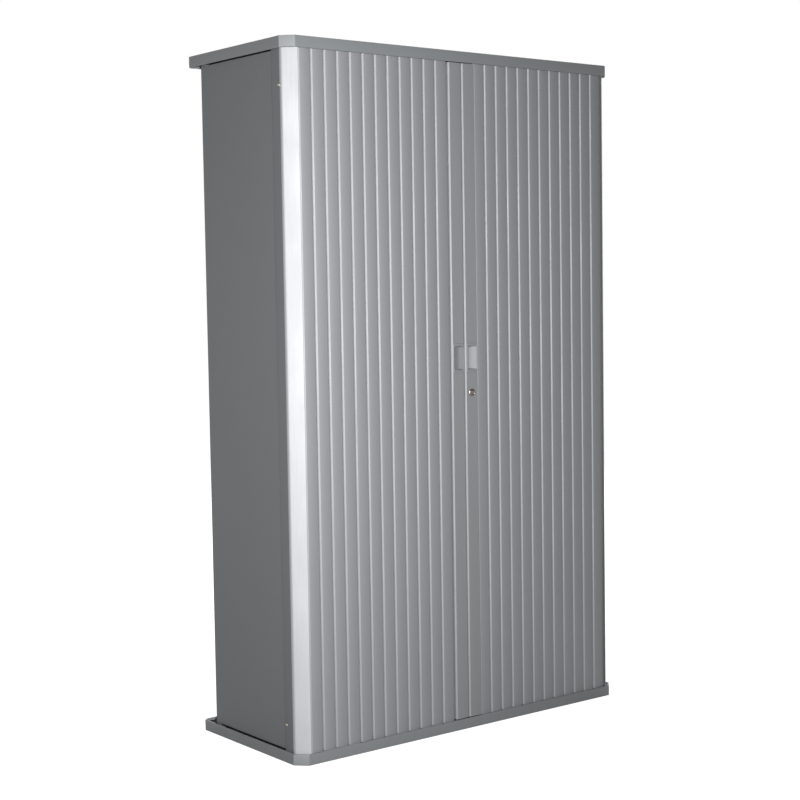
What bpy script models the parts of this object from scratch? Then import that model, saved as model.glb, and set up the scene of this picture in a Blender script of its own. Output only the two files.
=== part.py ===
"""Tambour door cabinet: a tall cupboard whose two slatted doors run sideways round its front corners.

The model stands on the floor at Z = 0, centred on X = 0 and Y = 0, with its front towards -Y.
All sizes are in metres. Every sub-part is one object with its own material.
"""

import math

import bmesh
import bpy
from mathutils import Vector

# Overall size
CABINET_WIDTH = 1.200
CABINET_DEPTH = 0.505
CABINET_HEIGHT = 1.950

# Clearances
TOUCH_GAP = 0.0003
RUNNING_GAP = 0.0010
CUT_OVERRUN = 0.0020
WELD_OVERLAP = 0.0005

# Top and base frames
FRAME_HEIGHT = 0.031
FRAME_FRONT_WIDTH = 0.008
FRAME_SIDE_WIDTH = 0.014
FRAME_REAR_WIDTH = 0.044
FRAME_CORNER_WIDTH = 0.0148
FRAME_FRONT_LEG = 0.031
FRAME_REAR_LEG = 0.018
FRAME_INNER_REAR_LEG = 0.010
FRAME_EDGE_BEVEL = 0.0015
RIM_WIDTH = 0.004
LEDGE_WIDTH = 0.015
LEDGE_THICKNESS = 0.0027
CROWN_SHARE = 0.35
CORNER_STEPS = 6

# Boards inside the two frames
BOARD_THICKNESS = 0.016

# Corner posts
POST_WALL = 0.0022
POST_SIDE_INSET = 0.008
POST_FRONT_INSET = 0.0045
POST_LEG = 0.032
POST_FRONT_LIP = 0.0015
POST_SIDE_FLANGE = 0.044
REAR_POST_FLANGE = 0.020

# Sheet panels
SHEET_THICKNESS = 0.0012
PANEL_RETURN = 0.006
PANEL_LAP = 0.013
SIDE_GAP_BELOW = 0.0025
SIDE_GAP_ABOVE = 0.005
BACK_INSET = 0.030
BACK_LEG = 0.030
BACK_FLANGE = 0.024
LINER_INSET = 0.0548
LINER_RETURN = 0.010
LINER_FRONT_SETBACK = 0.0625
LINER_REAR_SETBACK = 0.1025

# Curtain slats
SLAT_COUNT = 12
SLAT_FRONT_INSET = 0.0085
SLAT_THICKNESS = 0.009
SLAT_SKIN = 0.0022
SLAT_BEVEL = 0.0028
SLAT_TAIL_WIDTH = 0.004
CURTAIN_GAP = 0.0028
BEAD_RADIUS = 0.0015
NECK_THICKNESS = 0.0012
SOCKET_WALL = 0.0012
SOCKET_SETBACK = 0.0004
BEAD_STEPS = 8
RUNNER_HEIGHT = 0.008

# Curtain tracks
TRACK_GROOVE = 0.005
TRACK_WALL = 0.0015
TRACK_HEIGHT = 0.0087
TRACK_FLOOR = 0.0015
TRACK_RADIUS = 0.036
TRACK_SIDE_INSET = 0.028
TRACK_REAR_INSET = 0.0625
TRACK_REAR_RUN = 0.062
TRACK_STEPS = 8
PIN_WIDTH = 0.010
PIN_THICKNESS = 0.004

# Leading stiles
MEETING_GAP = 0.0016
STILE_WIDTH = 0.0482
STILE_FRONT_INSET = 0.0020
STILE_WALL = 0.0020
STILE_BEVEL = 0.0038
STILE_END_GAP = 0.0020

# Handle cups
HANDLE_HEIGHT = 1.081
CUP_WIDTH = 0.0370
CUP_HEIGHT = 0.082
CUP_DEPTH = 0.0110
CUP_CORNER = 0.004
CUP_FLANGE = 0.0018
CUP_FLANGE_PROUD = 0.0020
CUP_FLANGE_BEVEL = 0.0016
MOUTH_WIDTH = 0.0335
MOUTH_HEIGHT = 0.068
SCOOP_DEPTH = 0.0090
SCOOP_SLOPE = 0.020
SCOOP_GRIP_SLOPE = 0.0015
SCOOP_END_SLOPE = 0.005
CUP_CORNER_STEPS = 4

# Lock
LOCK_HEIGHT = 0.980
LOCK_FACE_RADIUS = 0.0115
LOCK_FACE_PROUD = 0.0012
LOCK_FACE_BEVEL = 0.0006
LOCK_BARREL_RADIUS = 0.0085
PLUG_RADIUS = 0.0060
PLUG_SETBACK = 0.0003
KEYWAY_WIDTH = 0.0016
KEYWAY_HEIGHT = 0.0072
KEYWAY_DEPTH = 0.0025
SPIGOT_SIZE = 0.0060
CAM_THICKNESS = 0.0025
CAM_HUB_RADIUS = 0.0080
CAM_REACH = 0.0445
CAM_TOOTH_WIDTH = 0.0070
CAM_TOOTH_HEIGHT = 0.0070
CAM_ARM_RISE = 0.0030
CAM_ARM_DROP = 0.0065
CAM_NOSE_BEVEL = 0.0020
KEEPER_LUG_WIDTH = 0.0050
KEEPER_THICKNESS = 0.0042
KEEPER_PLATE_WIDTH = 0.0320
KEEPER_PLATE_HEIGHT = 0.0330
KEEPER_EDGE_INSET = 0.0030
TURNED_STEPS = 24
ROUND_ANGLE = 40

# Slotted uprights
UPRIGHT_WIDTH = 0.024
UPRIGHT_DEPTH = 0.006
UPRIGHT_END_GAP = 0.030
UPRIGHT_FRONT_SETBACK = 0.014
UPRIGHT_REAR_SETBACK = 0.014
SLOT_WIDTH = 0.0030
SLOT_HEIGHT = 0.012
SLOT_PITCH = 0.064

# Shelves
SHELF_COUNT = 4
SHELF_HEIGHT = 0.025
SHELF_FRONT_OVERHANG = 0.005
SHELF_REAR_OVERHANG = 0.020
TAB_THICKNESS = 0.0020
TAB_HEIGHT = 0.008
TAB_REACH = 0.005
TAB_DROP = 0.020

# Places that follow from the sizes above
HALF_WIDTH = CABINET_WIDTH / 2
FRONT = -CABINET_DEPTH / 2
REAR = CABINET_DEPTH / 2
TOP = CABINET_HEIGHT
BEVEL_OFFSET_SHARE = 2 - math.sqrt(2)

FRAME_INNER_X = HALF_WIDTH - FRAME_SIDE_WIDTH
FRAME_INNER_FRONT = FRONT + FRAME_FRONT_WIDTH
FRAME_INNER_REAR = REAR - FRAME_REAR_WIDTH
FRAME_INNER_LEG = (
    FRAME_FRONT_LEG + FRAME_CORNER_WIDTH * math.sqrt(2) - FRAME_SIDE_WIDTH - FRAME_FRONT_WIDTH
)
BOARD_BOTTOM = LEDGE_THICKNESS + TOUCH_GAP
BOARD_TOP = BOARD_BOTTOM + BOARD_THICKNESS

POST_SIDE = HALF_WIDTH - POST_SIDE_INSET
POST_FRONT = FRONT + POST_FRONT_INSET
POST_LIP_X = POST_SIDE - POST_LEG - POST_FRONT_LIP
POST_BOTTOM = BOARD_TOP + TOUCH_GAP

PANEL_SIDE = POST_SIDE - POST_WALL - TOUCH_GAP
PANEL_REAR = REAR - BACK_INSET
SHEET_STEP = SHEET_THICKNESS + TOUCH_GAP
REAR_POST_LEG = BACK_LEG - SHEET_STEP * BEVEL_OFFSET_SHARE

SLAT_FRONT = FRONT + SLAT_FRONT_INSET
SLAT_BACK = SLAT_FRONT + SLAT_THICKNESS
SOCKET_RADIUS = BEAD_RADIUS + TOUCH_GAP
SOCKET_REACH = SOCKET_RADIUS + SOCKET_WALL
JOINT_DEPTH = SLAT_THICKNESS - SOCKET_REACH - SOCKET_SETBACK
SLOT_MOUTH = NECK_THICKNESS + TOUCH_GAP + TOUCH_GAP
STILE_FRONT = FRONT + STILE_FRONT_INSET
STILE_DEPTH = SLAT_BACK - STILE_FRONT
STILE_INNER_X = MEETING_GAP / 2
STILE_OUTER_X = STILE_INNER_X + STILE_WIDTH
CURTAIN_START_X = STILE_OUTER_X + TOUCH_GAP
CURTAIN_END_X = POST_LIP_X - CURTAIN_GAP
SLAT_PITCH = (CURTAIN_END_X - CURTAIN_START_X) / SLAT_COUNT
SLAT_WIDTH = SLAT_PITCH - TOUCH_GAP

TRACK_Y = (SLAT_FRONT + SLAT_BACK) / 2
TRACK_X = HALF_WIDTH - TRACK_SIDE_INSET
TRACK_REAR_Y = REAR - TRACK_REAR_INSET
TRACK_BOTTOM = BOARD_TOP + TOUCH_GAP
TRACK_TOP = TRACK_BOTTOM + TRACK_HEIGHT
PIN_BOTTOM = TRACK_BOTTOM + TRACK_FLOOR + TOUCH_GAP
SLAT_BOTTOM = TRACK_TOP + RUNNING_GAP
STILE_BOTTOM = FRAME_HEIGHT + STILE_END_GAP

CUP_X = (STILE_INNER_X + STILE_OUTER_X) / 2
LOCK_X = CUP_X
LOCK_FRONT = STILE_FRONT - LOCK_FACE_PROUD
CAM_FRONT = SLAT_BACK + RUNNING_GAP
CAM_BACK = CAM_FRONT + CAM_THICKNESS

LINER_X = HALF_WIDTH - LINER_INSET
LINER_FRONT = FRONT + LINER_FRONT_SETBACK
LINER_REAR = REAR - LINER_REAR_SETBACK
LINER_INNER_X = LINER_X - SHEET_THICKNESS
UPRIGHT_OUTER_X = LINER_INNER_X - TOUCH_GAP
UPRIGHT_INNER_X = UPRIGHT_OUTER_X - UPRIGHT_DEPTH
UPRIGHT_FRONT_Y = LINER_FRONT + UPRIGHT_FRONT_SETBACK + UPRIGHT_WIDTH / 2
UPRIGHT_REAR_Y = LINER_REAR - UPRIGHT_REAR_SETBACK - UPRIGHT_WIDTH / 2
UPRIGHT_BOTTOM = BOARD_TOP + UPRIGHT_END_GAP
UPRIGHT_TOP = TOP - UPRIGHT_BOTTOM
SHELF_X = UPRIGHT_INNER_X - TOUCH_GAP
SHELF_FRONT = LINER_FRONT - SHELF_FRONT_OVERHANG
SHELF_REAR = LINER_REAR + SHELF_REAR_OVERHANG

# sRGB colour, roughness and metallic value of each finish
FINISHES = {
    "frame_paint": ((0.47, 0.49, 0.50), 0.45, 0.3),
    "board_laminate": ((0.44, 0.45, 0.46), 0.55, 0.0),
    "post_aluminium": ((0.82, 0.83, 0.84), 0.30, 0.9),
    "rear_post_paint": ((0.42, 0.44, 0.45), 0.45, 0.2),
    "side_paint": ((0.42, 0.44, 0.45), 0.45, 0.2),
    "back_paint": ((0.40, 0.42, 0.43), 0.50, 0.1),
    "liner_paint": ((0.55, 0.56, 0.57), 0.50, 0.1),
    "upright_zinc": ((0.66, 0.67, 0.68), 0.40, 0.8),
    "shelf_paint": ((0.58, 0.59, 0.60), 0.50, 0.1),
    "track_plastic": ((0.12, 0.12, 0.13), 0.50, 0.0),
    "slat_plastic": ((0.56, 0.58, 0.59), 0.40, 0.3),
    "stile_paint": ((0.56, 0.58, 0.59), 0.40, 0.3),
    "cup_plastic": ((0.60, 0.61, 0.62), 0.45, 0.1),
    "lock_nickel": ((0.62, 0.60, 0.58), 0.25, 1.0),
    "plug_brass": ((0.45, 0.40, 0.36), 0.30, 1.0),
    "cam_steel": ((0.60, 0.60, 0.61), 0.35, 1.0),
    "keeper_steel": ((0.58, 0.58, 0.59), 0.35, 1.0),
}


def linear(channel):
    """Turn one sRGB channel into linear light."""
    if channel <= 0.04045:
        return channel / 12.92
    return ((channel + 0.055) / 1.055) ** 2.4


def finish(name):
    """Make the material of one sub-part, or return it if it is there already."""
    known = bpy.data.materials.get(name)
    if known:
        return known
    colour, roughness, metallic = FINISHES[name]
    material = bpy.data.materials.new(name)
    material.use_nodes = True
    shader = material.node_tree.nodes["Principled BSDF"]
    shader.inputs["Base Color"].default_value = (*[linear(c) for c in colour], 1)
    shader.inputs["Roughness"].default_value = roughness
    shader.inputs["Metallic"].default_value = metallic
    return material


def place(name, mesh, material, location=(0, 0, 0), parent=None):
    """Add an object to the scene, by its location under its parent."""
    thing = bpy.data.objects.new(name, mesh)
    bpy.context.scene.collection.objects.link(thing)
    if material and not mesh.materials:
        mesh.materials.append(finish(material))
    thing.location = location
    if parent:
        thing.parent = parent
    return thing


def empty(name, location, parent=None):
    """Add an empty that carries the pieces of one moving body."""
    return place(name, None, None, location, parent)


def close(bm, name):
    """Point all faces outwards and store the shape as a mesh."""
    bmesh.ops.recalc_face_normals(bm, faces=bm.faces[:])
    mesh = bpy.data.meshes.new(name)
    bm.to_mesh(mesh)
    bm.free()
    return mesh


def lofted(name, rings, endless=False):
    """Skin a row of rings with equal counts of points.

    An endless skin joins its last ring to its first, and any other is capped at both ends.
    """
    bm = bmesh.new()
    loops = [[bm.verts.new(point) for point in ring] for ring in rings]
    pairs = list(zip(loops, loops[1:]))
    if endless:
        pairs.append((loops[-1], loops[0]))
    else:
        bm.faces.new(loops[0])
        bm.faces.new(loops[-1])
    count = len(loops[0])
    for first, second in pairs:
        for i in range(count):
            j = (i + 1) % count
            bm.faces.new((first[i], first[j], second[j], second[i]))
    return close(bm, name)


def extruded(name, outline, start, end):
    """Draw a closed outline of 3D points along the vector from start to end."""
    bm = bmesh.new()
    base = bm.faces.new([bm.verts.new(Vector(point) + Vector(start)) for point in outline])
    grown = bmesh.ops.extrude_face_region(bm, geom=[base])
    moved = [item for item in grown["geom"] if isinstance(item, bmesh.types.BMVert)]
    bmesh.ops.translate(bm, verts=moved, vec=Vector(end) - Vector(start))
    return close(bm, name)


def raised(name, outline, bottom, top):
    """Extrude a plan outline of (x, y) points upwards."""
    return extruded(name, [(x, y, 0) for x, y in outline], (0, 0, bottom), (0, 0, top))


def block(name, low, high):
    """Make a box between two corners."""
    outline = [(low[0], low[1]), (high[0], low[1]), (high[0], high[1]), (low[0], high[1])]
    return raised(name, outline, low[2], high[2])


def combine(target, tool, operation):
    """Join a helper object to a target with a Boolean, or cut the target with it."""
    tool.hide_render = True
    tool.display_type = "WIRE"
    change = target.modifiers.new(tool.name, "BOOLEAN")
    change.operation = operation
    change.solver = "EXACT"
    change.object = tool


def settled(thing):
    """Store an object's modified shape as a plain mesh, and remove the object and its helpers."""
    tools = [change.object for change in thing.modifiers]
    state = thing.evaluated_get(bpy.context.evaluated_depsgraph_get())
    mesh = bpy.data.meshes.new_from_object(state)
    for helper in [thing, *tools]:
        bpy.data.objects.remove(helper)
    return mesh


def shade_round(mesh):
    """Shade a turned piece smooth and keep its rims sharp."""
    mesh.shade_smooth()
    mesh.set_sharp_from_angle(angle=math.radians(ROUND_ANGLE))


def corner_curve(leg, crown):
    """Points of a corner bevel, as distances from the square corner along its two sides.

    The crown is the share of a full quarter round that the flat 45 degree bevel bulges by.
    """
    points = []
    steps = CORNER_STEPS if crown else 1
    for step in range(steps + 1):
        share = step / steps
        angle = share * math.pi / 2
        along = crown * (1 - math.sin(angle)) + (1 - crown) * (1 - share)
        across = crown * (1 - math.cos(angle)) + (1 - crown) * share
        points.append((leg * along, leg * across))
    return points


def plan_outline(half_x, front, rear, front_leg, rear_leg):
    """Outline seen from above with bevelled corners, anticlockwise from the front left."""
    points = []
    corners = (
        (-1, -1, front, front_leg, CROWN_SHARE),
        (1, -1, front, front_leg, CROWN_SHARE),
        (1, 1, rear, rear_leg, 1),
        (-1, 1, rear, rear_leg, 1),
    )
    for side, facing, edge, leg, crown in corners:
        curve = corner_curve(leg, crown)
        if side == facing:
            curve.reverse()
        points += [(side * (half_x - dx), edge - facing * dy) for dx, dy in curve]
    return points


def outer_outline(inset):
    """Outline of the top and base frames, drawn in by an inset."""
    shrink = inset * BEVEL_OFFSET_SHARE
    return plan_outline(
        HALF_WIDTH - inset,
        FRONT + inset,
        REAR - inset,
        FRAME_FRONT_LEG - shrink,
        FRAME_REAR_LEG - shrink,
    )


def inner_outline(inset):
    """Outline of the opening in the top and base frames, drawn in by an inset."""
    return plan_outline(
        FRAME_INNER_X - inset,
        FRAME_INNER_FRONT + inset,
        FRAME_INNER_REAR - inset,
        FRAME_INNER_LEG,
        FRAME_INNER_REAR_LEG,
    )


def frame_ring(name, height):
    """Top or base frame: a raised rim, a shoulder for the posts and a ledge for the board."""
    section = [
        (outer_outline(FRAME_EDGE_BEVEL), 0),
        (outer_outline(0), FRAME_EDGE_BEVEL),
        (outer_outline(0), FRAME_HEIGHT - FRAME_EDGE_BEVEL),
        (outer_outline(FRAME_EDGE_BEVEL), FRAME_HEIGHT),
        (outer_outline(RIM_WIDTH), FRAME_HEIGHT),
        (outer_outline(RIM_WIDTH), BOARD_TOP),
        (inner_outline(0), BOARD_TOP),
        (inner_outline(0), LEDGE_THICKNESS),
        (inner_outline(LEDGE_WIDTH), LEDGE_THICKNESS),
        (inner_outline(LEDGE_WIDTH), 0),
    ]
    rings = [[(x, y, height(level)) for x, y in outline] for outline, level in section]
    place(name, lofted(name, rings, endless=True), "frame_paint")


def board(name, height):
    """Board inside the top or base frame."""
    outline = inner_outline(TOUCH_GAP)
    levels = sorted((height(BOARD_BOTTOM), height(BOARD_TOP)))
    place(name, raised(name, outline, *levels), "board_laminate")


def upright_height(level):
    """Height of a level of the base."""
    return level


def mirrored_height(level):
    """Height of the same level at the top, measured down from there."""
    return TOP - level


def corner_path(side, edge, facing, leg, lip, flange, inset):
    """Plan path of a bent skin, from its lip along the edge to the end of its side flange."""
    drawn = leg - inset * BEVEL_OFFSET_SHARE
    curve = corner_curve(drawn, CROWN_SHARE if facing < 0 else 0)
    start = (side - leg - lip, edge - facing * inset)
    corner = [(side - inset - dx, edge - facing * (inset + dy)) for dx, dy in curve]
    heel = (side - inset, edge - facing * (leg + flange))
    return [start, *corner, heel]


def bent_skin(name, side, paths, bottom, top, material):
    """Upright sheet piece between its outer and inner plan paths."""
    outer, inner = paths
    outline = [(side * x, y) for x, y in outer + inner[::-1]]
    place(name, raised(name, outline, bottom, top), material)


def front_post(name, side):
    """Front corner post: a crowned skin with a short lip and a flange on the cabinet's side."""
    sizes = (POST_SIDE, POST_FRONT, -1, POST_LEG, POST_FRONT_LIP, POST_SIDE_FLANGE)
    paths = [corner_path(*sizes, inset) for inset in (0, POST_WALL)]
    bent_skin(name, side, paths, POST_BOTTOM, TOP - POST_BOTTOM, "post_aluminium")


def rear_post(name, side):
    """Rear corner post: a bent angle that lines the side panel's rear corner."""
    place_x = PANEL_SIDE - SHEET_STEP
    place_y = PANEL_REAR - SHEET_STEP
    sizes = (place_x, place_y, 1, REAR_POST_LEG, BACK_FLANGE, REAR_POST_FLANGE)
    paths = [corner_path(*sizes, inset) for inset in (0, POST_WALL)]
    bent_skin(name, side, paths, POST_BOTTOM, TOP - POST_BOTTOM, "rear_post_paint")


def sheet_tray(name, low, high, axis, outward, material):
    """Sheet panel between two corners whose four edges are folded in, away from outward."""
    across = [i for i in range(3) if i != axis]
    skin = high[axis] if outward > 0 else low[axis]
    back = low[axis] if outward > 0 else high[axis]
    inner_skin = skin - outward * SHEET_THICKNESS

    def ring(level, inset):
        a, b = across
        corners = (
            (low[a] + inset, low[b] + inset),
            (high[a] - inset, low[b] + inset),
            (high[a] - inset, high[b] - inset),
            (low[a] + inset, high[b] - inset),
        )
        points = []
        for first, second in corners:
            point = [0, 0, 0]
            point[axis] = level
            point[a] = first
            point[b] = second
            points.append(tuple(point))
        return points

    rings = [
        ring(skin, 0),
        ring(back, 0),
        ring(back, SHEET_THICKNESS),
        ring(inner_skin, SHEET_THICKNESS),
    ]
    return place(name, lofted(name, rings), material)


def side_panel(name, side):
    """Side panel: one sheet from behind the front post's flange to round the rear corner."""
    front = POST_FRONT + POST_LEG + POST_SIDE_FLANGE - PANEL_LAP
    flange = PANEL_REAR - BACK_LEG - front
    paths = []
    for inset in (0, SHEET_THICKNESS):
        path = corner_path(PANEL_SIDE, PANEL_REAR, 1, BACK_LEG, BACK_FLANGE, flange - inset, inset)
        paths.append([*path, (PANEL_SIDE - PANEL_RETURN, front + inset)])
    bottom = FRAME_HEIGHT + SIDE_GAP_BELOW
    top = TOP - FRAME_HEIGHT - SIDE_GAP_ABOVE
    bent_skin(name, side, paths, bottom, top, "side_paint")


def back_panel():
    """Back panel, tucked behind the rear posts' back flanges."""
    face = PANEL_REAR - SHEET_STEP - POST_WALL - TOUCH_GAP
    half = PANEL_SIDE - BACK_LEG - BACK_FLANGE + PANEL_LAP
    low = (-half, face - PANEL_RETURN, POST_BOTTOM)
    high = (half, face, TOP - POST_BOTTOM)
    sheet_tray("back_panel", low, high, 1, 1, "back_paint")


def channel_outline(start, end, outer, depth, wall):
    """Plan outline of a folded channel with its web at start and its flanges towards outer."""
    inner = outer - math.copysign(depth, outer)
    web = inner + math.copysign(wall, outer)
    return [
        (inner, start),
        (outer, start),
        (outer, start + wall),
        (web, start + wall),
        (web, end - wall),
        (outer, end - wall),
        (outer, end),
        (inner, end),
    ]


def inner_liner(name, side):
    """Inner side wall that hides the pocket where a curtain parks."""
    depth = LINER_RETURN + SHEET_THICKNESS
    outer = side * (LINER_INNER_X + depth)
    outline = channel_outline(LINER_FRONT, LINER_REAR, outer, depth, SHEET_THICKNESS)
    place(name, raised(name, outline, TRACK_BOTTOM, TOP - TRACK_BOTTOM), "liner_paint")


def slot_bottoms():
    """Heights of the lower ends of an upright's slots."""
    first = UPRIGHT_BOTTOM + SLOT_PITCH / 2
    room = UPRIGHT_TOP - first - SLOT_HEIGHT
    return [first + i * SLOT_PITCH for i in range(int(room / SLOT_PITCH) + 1)]


def slotted_upright(name, side, centre):
    """Shelf upright: a channel on the liner with a row of slots in its web."""
    outline = channel_outline(
        -UPRIGHT_WIDTH / 2,
        UPRIGHT_WIDTH / 2,
        side * UPRIGHT_OUTER_X,
        UPRIGHT_DEPTH,
        SHEET_THICKNESS,
    )
    mesh = raised(name, outline, UPRIGHT_BOTTOM, UPRIGHT_TOP)
    upright = place(name, mesh, "upright_zinc", (0, centre, 0))
    bm = bmesh.new()
    web = side * (UPRIGHT_INNER_X + SHEET_THICKNESS / 2)
    for bottom in slot_bottoms():
        made = bmesh.ops.create_cube(bm, size=1)
        size = (SHEET_THICKNESS + CUT_OVERRUN, SLOT_WIDTH, SLOT_HEIGHT)
        bmesh.ops.scale(bm, verts=made["verts"], vec=size)
        at = (web, centre, bottom + SLOT_HEIGHT / 2)
        bmesh.ops.translate(bm, verts=made["verts"], vec=at)
    combine(upright, place(name + "_slots", close(bm, name + "_slots"), None), "DIFFERENCE")


def shelf_top(number):
    """Height of a shelf's top, with its tabs in the slots nearest to an even spacing."""
    bay = (TOP - BOARD_TOP - BOARD_TOP) / (SHELF_COUNT + 1)
    wanted = BOARD_TOP + number * bay - TAB_DROP
    return min(slot_bottoms(), key=lambda bottom: abs(bottom - wanted)) + TOUCH_GAP + TAB_DROP


def shelf_mesh():
    """Shelf: a sheet tray open below, with four hook tabs for the uprights' slots."""
    low = (-SHELF_X, SHELF_FRONT, -SHELF_HEIGHT)
    high = (SHELF_X, SHELF_REAR, 0)
    tray = sheet_tray("shelf_tray", low, high, 2, 1, "shelf_paint")
    for side in (-1, 1):
        for centre in (UPRIGHT_FRONT_Y, UPRIGHT_REAR_Y):
            span = sorted((side * (SHELF_X - WELD_OVERLAP), side * (SHELF_X + TAB_REACH)))
            start = (span[0], centre - TAB_THICKNESS / 2, -TAB_DROP)
            end = (span[1], centre + TAB_THICKNESS / 2, TAB_HEIGHT - TAB_DROP)
            combine(tray, place("shelf_tab", block("shelf_tab", start, end), None), "UNION")
    return settled(tray)


def shelves():
    """The shelves, evenly spaced up the cabinet."""
    mesh = shelf_mesh()
    for number in range(1, SHELF_COUNT + 1):
        place(f"shelf_{number}", mesh, None, (0, 0, shelf_top(number)))


def arc(centre, radius, start, end, steps):
    """Points and outward normals along an arc, with angles in degrees."""
    stations = []
    for step in range(steps + 1):
        angle = math.radians(start + (end - start) * step / steps)
        normal = (math.cos(angle), math.sin(angle))
        point = (centre[0] + radius * normal[0], centre[1] + radius * normal[1])
        stations.append((point, normal))
    return stations


def track_path():
    """Centre line of the right door's track: along the front, round both corners, to the rear."""
    front_corner = (TRACK_X - TRACK_RADIUS, TRACK_Y + TRACK_RADIUS)
    rear_corner = (TRACK_X - TRACK_RADIUS, TRACK_REAR_Y - TRACK_RADIUS)
    return [
        ((TOUCH_GAP / 2, TRACK_Y), (0, -1)),
        *arc(front_corner, TRACK_RADIUS, -90, 0, TRACK_STEPS),
        *arc(rear_corner, TRACK_RADIUS, 0, 90, TRACK_STEPS),
        ((rear_corner[0] - TRACK_REAR_RUN, TRACK_REAR_Y), (0, 1)),
    ]


def curtain_track(name, side, height):
    """Curtain track: a groove swept along the path that the slats follow."""
    lip = TRACK_GROOVE / 2
    face = lip + TRACK_WALL
    floor = TRACK_BOTTOM + TRACK_FLOOR
    section = [
        (-face, TRACK_BOTTOM),
        (face, TRACK_BOTTOM),
        (face, TRACK_TOP),
        (lip, TRACK_TOP),
        (lip, floor),
        (-lip, floor),
        (-lip, TRACK_TOP),
        (-face, TRACK_TOP),
    ]
    rings = []
    for (x, y), (nx, ny) in track_path():
        rings.append([(side * (x + nx * off), y + ny * off, height(z)) for off, z in section])
    place(name, lofted(name, rings), "track_plastic")


def bead_and_tail(width):
    """Outer edge of a curtain profile: a bevel, then the bead that the next slat clips round."""
    reach = width + TOUCH_GAP + SOCKET_REACH
    half = NECK_THICKNESS / 2
    turn = math.pi - math.asin(half / BEAD_RADIUS)
    points = [(width, JOINT_DEPTH - half)]
    for step in range(BEAD_STEPS + 1):
        angle = turn - 2 * turn * step / BEAD_STEPS
        along = reach + BEAD_RADIUS * math.cos(angle)
        points.append((along, JOINT_DEPTH - BEAD_RADIUS * math.sin(angle)))
    points.append((width, JOINT_DEPTH + half))
    return points


def socket():
    """Inner edge of a slat: the socket that clips round its neighbour's bead."""
    half = SLOT_MOUTH / 2
    turn = math.pi - math.asin(half / SOCKET_RADIUS)
    points = [(0, JOINT_DEPTH + half)]
    for step in range(BEAD_STEPS + 1):
        angle = 2 * turn * step / BEAD_STEPS - turn
        along = SOCKET_REACH + SOCKET_RADIUS * math.cos(angle)
        points.append((along, JOINT_DEPTH - SOCKET_RADIUS * math.sin(angle)))
    points.append((0, JOINT_DEPTH - half))
    return points


def slat_profile():
    """Section of a slat, as (distance from its inner edge, depth behind its face)."""
    head = SOCKET_REACH + SOCKET_REACH
    tail = SLAT_WIDTH - SLAT_TAIL_WIDTH
    return [
        (SLAT_BEVEL, 0),
        (SLAT_WIDTH - SLAT_BEVEL, 0),
        (SLAT_WIDTH, SLAT_BEVEL),
        *bead_and_tail(SLAT_WIDTH),
        (SLAT_WIDTH, SLAT_THICKNESS),
        (tail, SLAT_THICKNESS),
        (tail, SLAT_SKIN),
        (head, SLAT_SKIN),
        (head, SLAT_THICKNESS),
        (0, SLAT_THICKNESS),
        *socket(),
        (0, SLAT_BEVEL),
    ]


def runner(name, start, end, front, back, pins, height):
    """End runner of a slat or stile: a plug in the profile's end, with a pin for the track."""
    inside = max(SLAT_BOTTOM, height_of_profile_end(front)) + WELD_OVERLAP
    rings = [
        rectangle(start, end, front, back, height(inside + RUNNER_HEIGHT)),
        rectangle(start, end, front, back, height(inside)),
        rectangle(pins[0], pins[1], *pin_span(), height(inside)),
        rectangle(pins[0], pins[1], *pin_span(), height(PIN_BOTTOM)),
    ]
    return place(name, lofted(name, rings), None)


def height_of_profile_end(front):
    """Level where a curtain profile ends: a stile clears the frame, and a slat drops behind it."""
    return STILE_BOTTOM if front < SLAT_FRONT else SLAT_BOTTOM


def pin_span():
    """Front and back of a runner's pin, centred in the track."""
    return (TRACK_Y - PIN_THICKNESS / 2, TRACK_Y + PIN_THICKNESS / 2)


def rectangle(start, end, front, back, level):
    """Ring of a flat rectangle at one height."""
    return [(start, front, level), (end, front, level), (end, back, level), (start, back, level)]


def slat_mesh(side):
    """Slat of one door, with its inner edge on the object's origin."""
    outline = [(side * along, SLAT_FRONT + depth, 0) for along, depth in slat_profile()]
    start = (0, 0, SLAT_BOTTOM)
    end = (0, 0, TOP - SLAT_BOTTOM)
    slat = place("slat_profile", extruded("slat_profile", outline, start, end), "slat_plastic")
    head = SOCKET_REACH + SOCKET_REACH - WELD_OVERLAP
    tail = SLAT_WIDTH - SLAT_TAIL_WIDTH + WELD_OVERLAP
    front = SLAT_FRONT + SLAT_SKIN - WELD_OVERLAP
    back = SLAT_BACK - WELD_OVERLAP
    middle = side * SLAT_WIDTH / 2
    pins = (middle - PIN_WIDTH / 2, middle + PIN_WIDTH / 2)
    ends = sorted((side * head, side * tail))
    for height in (upright_height, mirrored_height):
        combine(slat, runner("slat_runner", *ends, front, back, pins, height), "UNION")
    return settled(slat)


def slats(door, side):
    """The slats of one door, numbered from its stile outwards."""
    mesh = slat_mesh(side)
    for number in range(1, SLAT_COUNT + 1):
        at = side * (CURTAIN_START_X + (number - 1) * SLAT_PITCH)
        place(f"{door}_slat_{number:02d}", mesh, None, (at, 0, 0))


def stile_profile():
    """Section of a stile, as (distance from its meeting edge, depth behind its face)."""
    offset = SLAT_FRONT - STILE_FRONT
    edge = [(along, depth + offset) for along, depth in bead_and_tail(STILE_WIDTH)]
    return [
        (STILE_BEVEL, 0),
        (STILE_WIDTH - STILE_BEVEL, 0),
        (STILE_WIDTH, STILE_BEVEL),
        *edge,
        (STILE_WIDTH, STILE_DEPTH),
        (0, STILE_DEPTH),
        (0, STILE_BEVEL),
    ]


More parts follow.
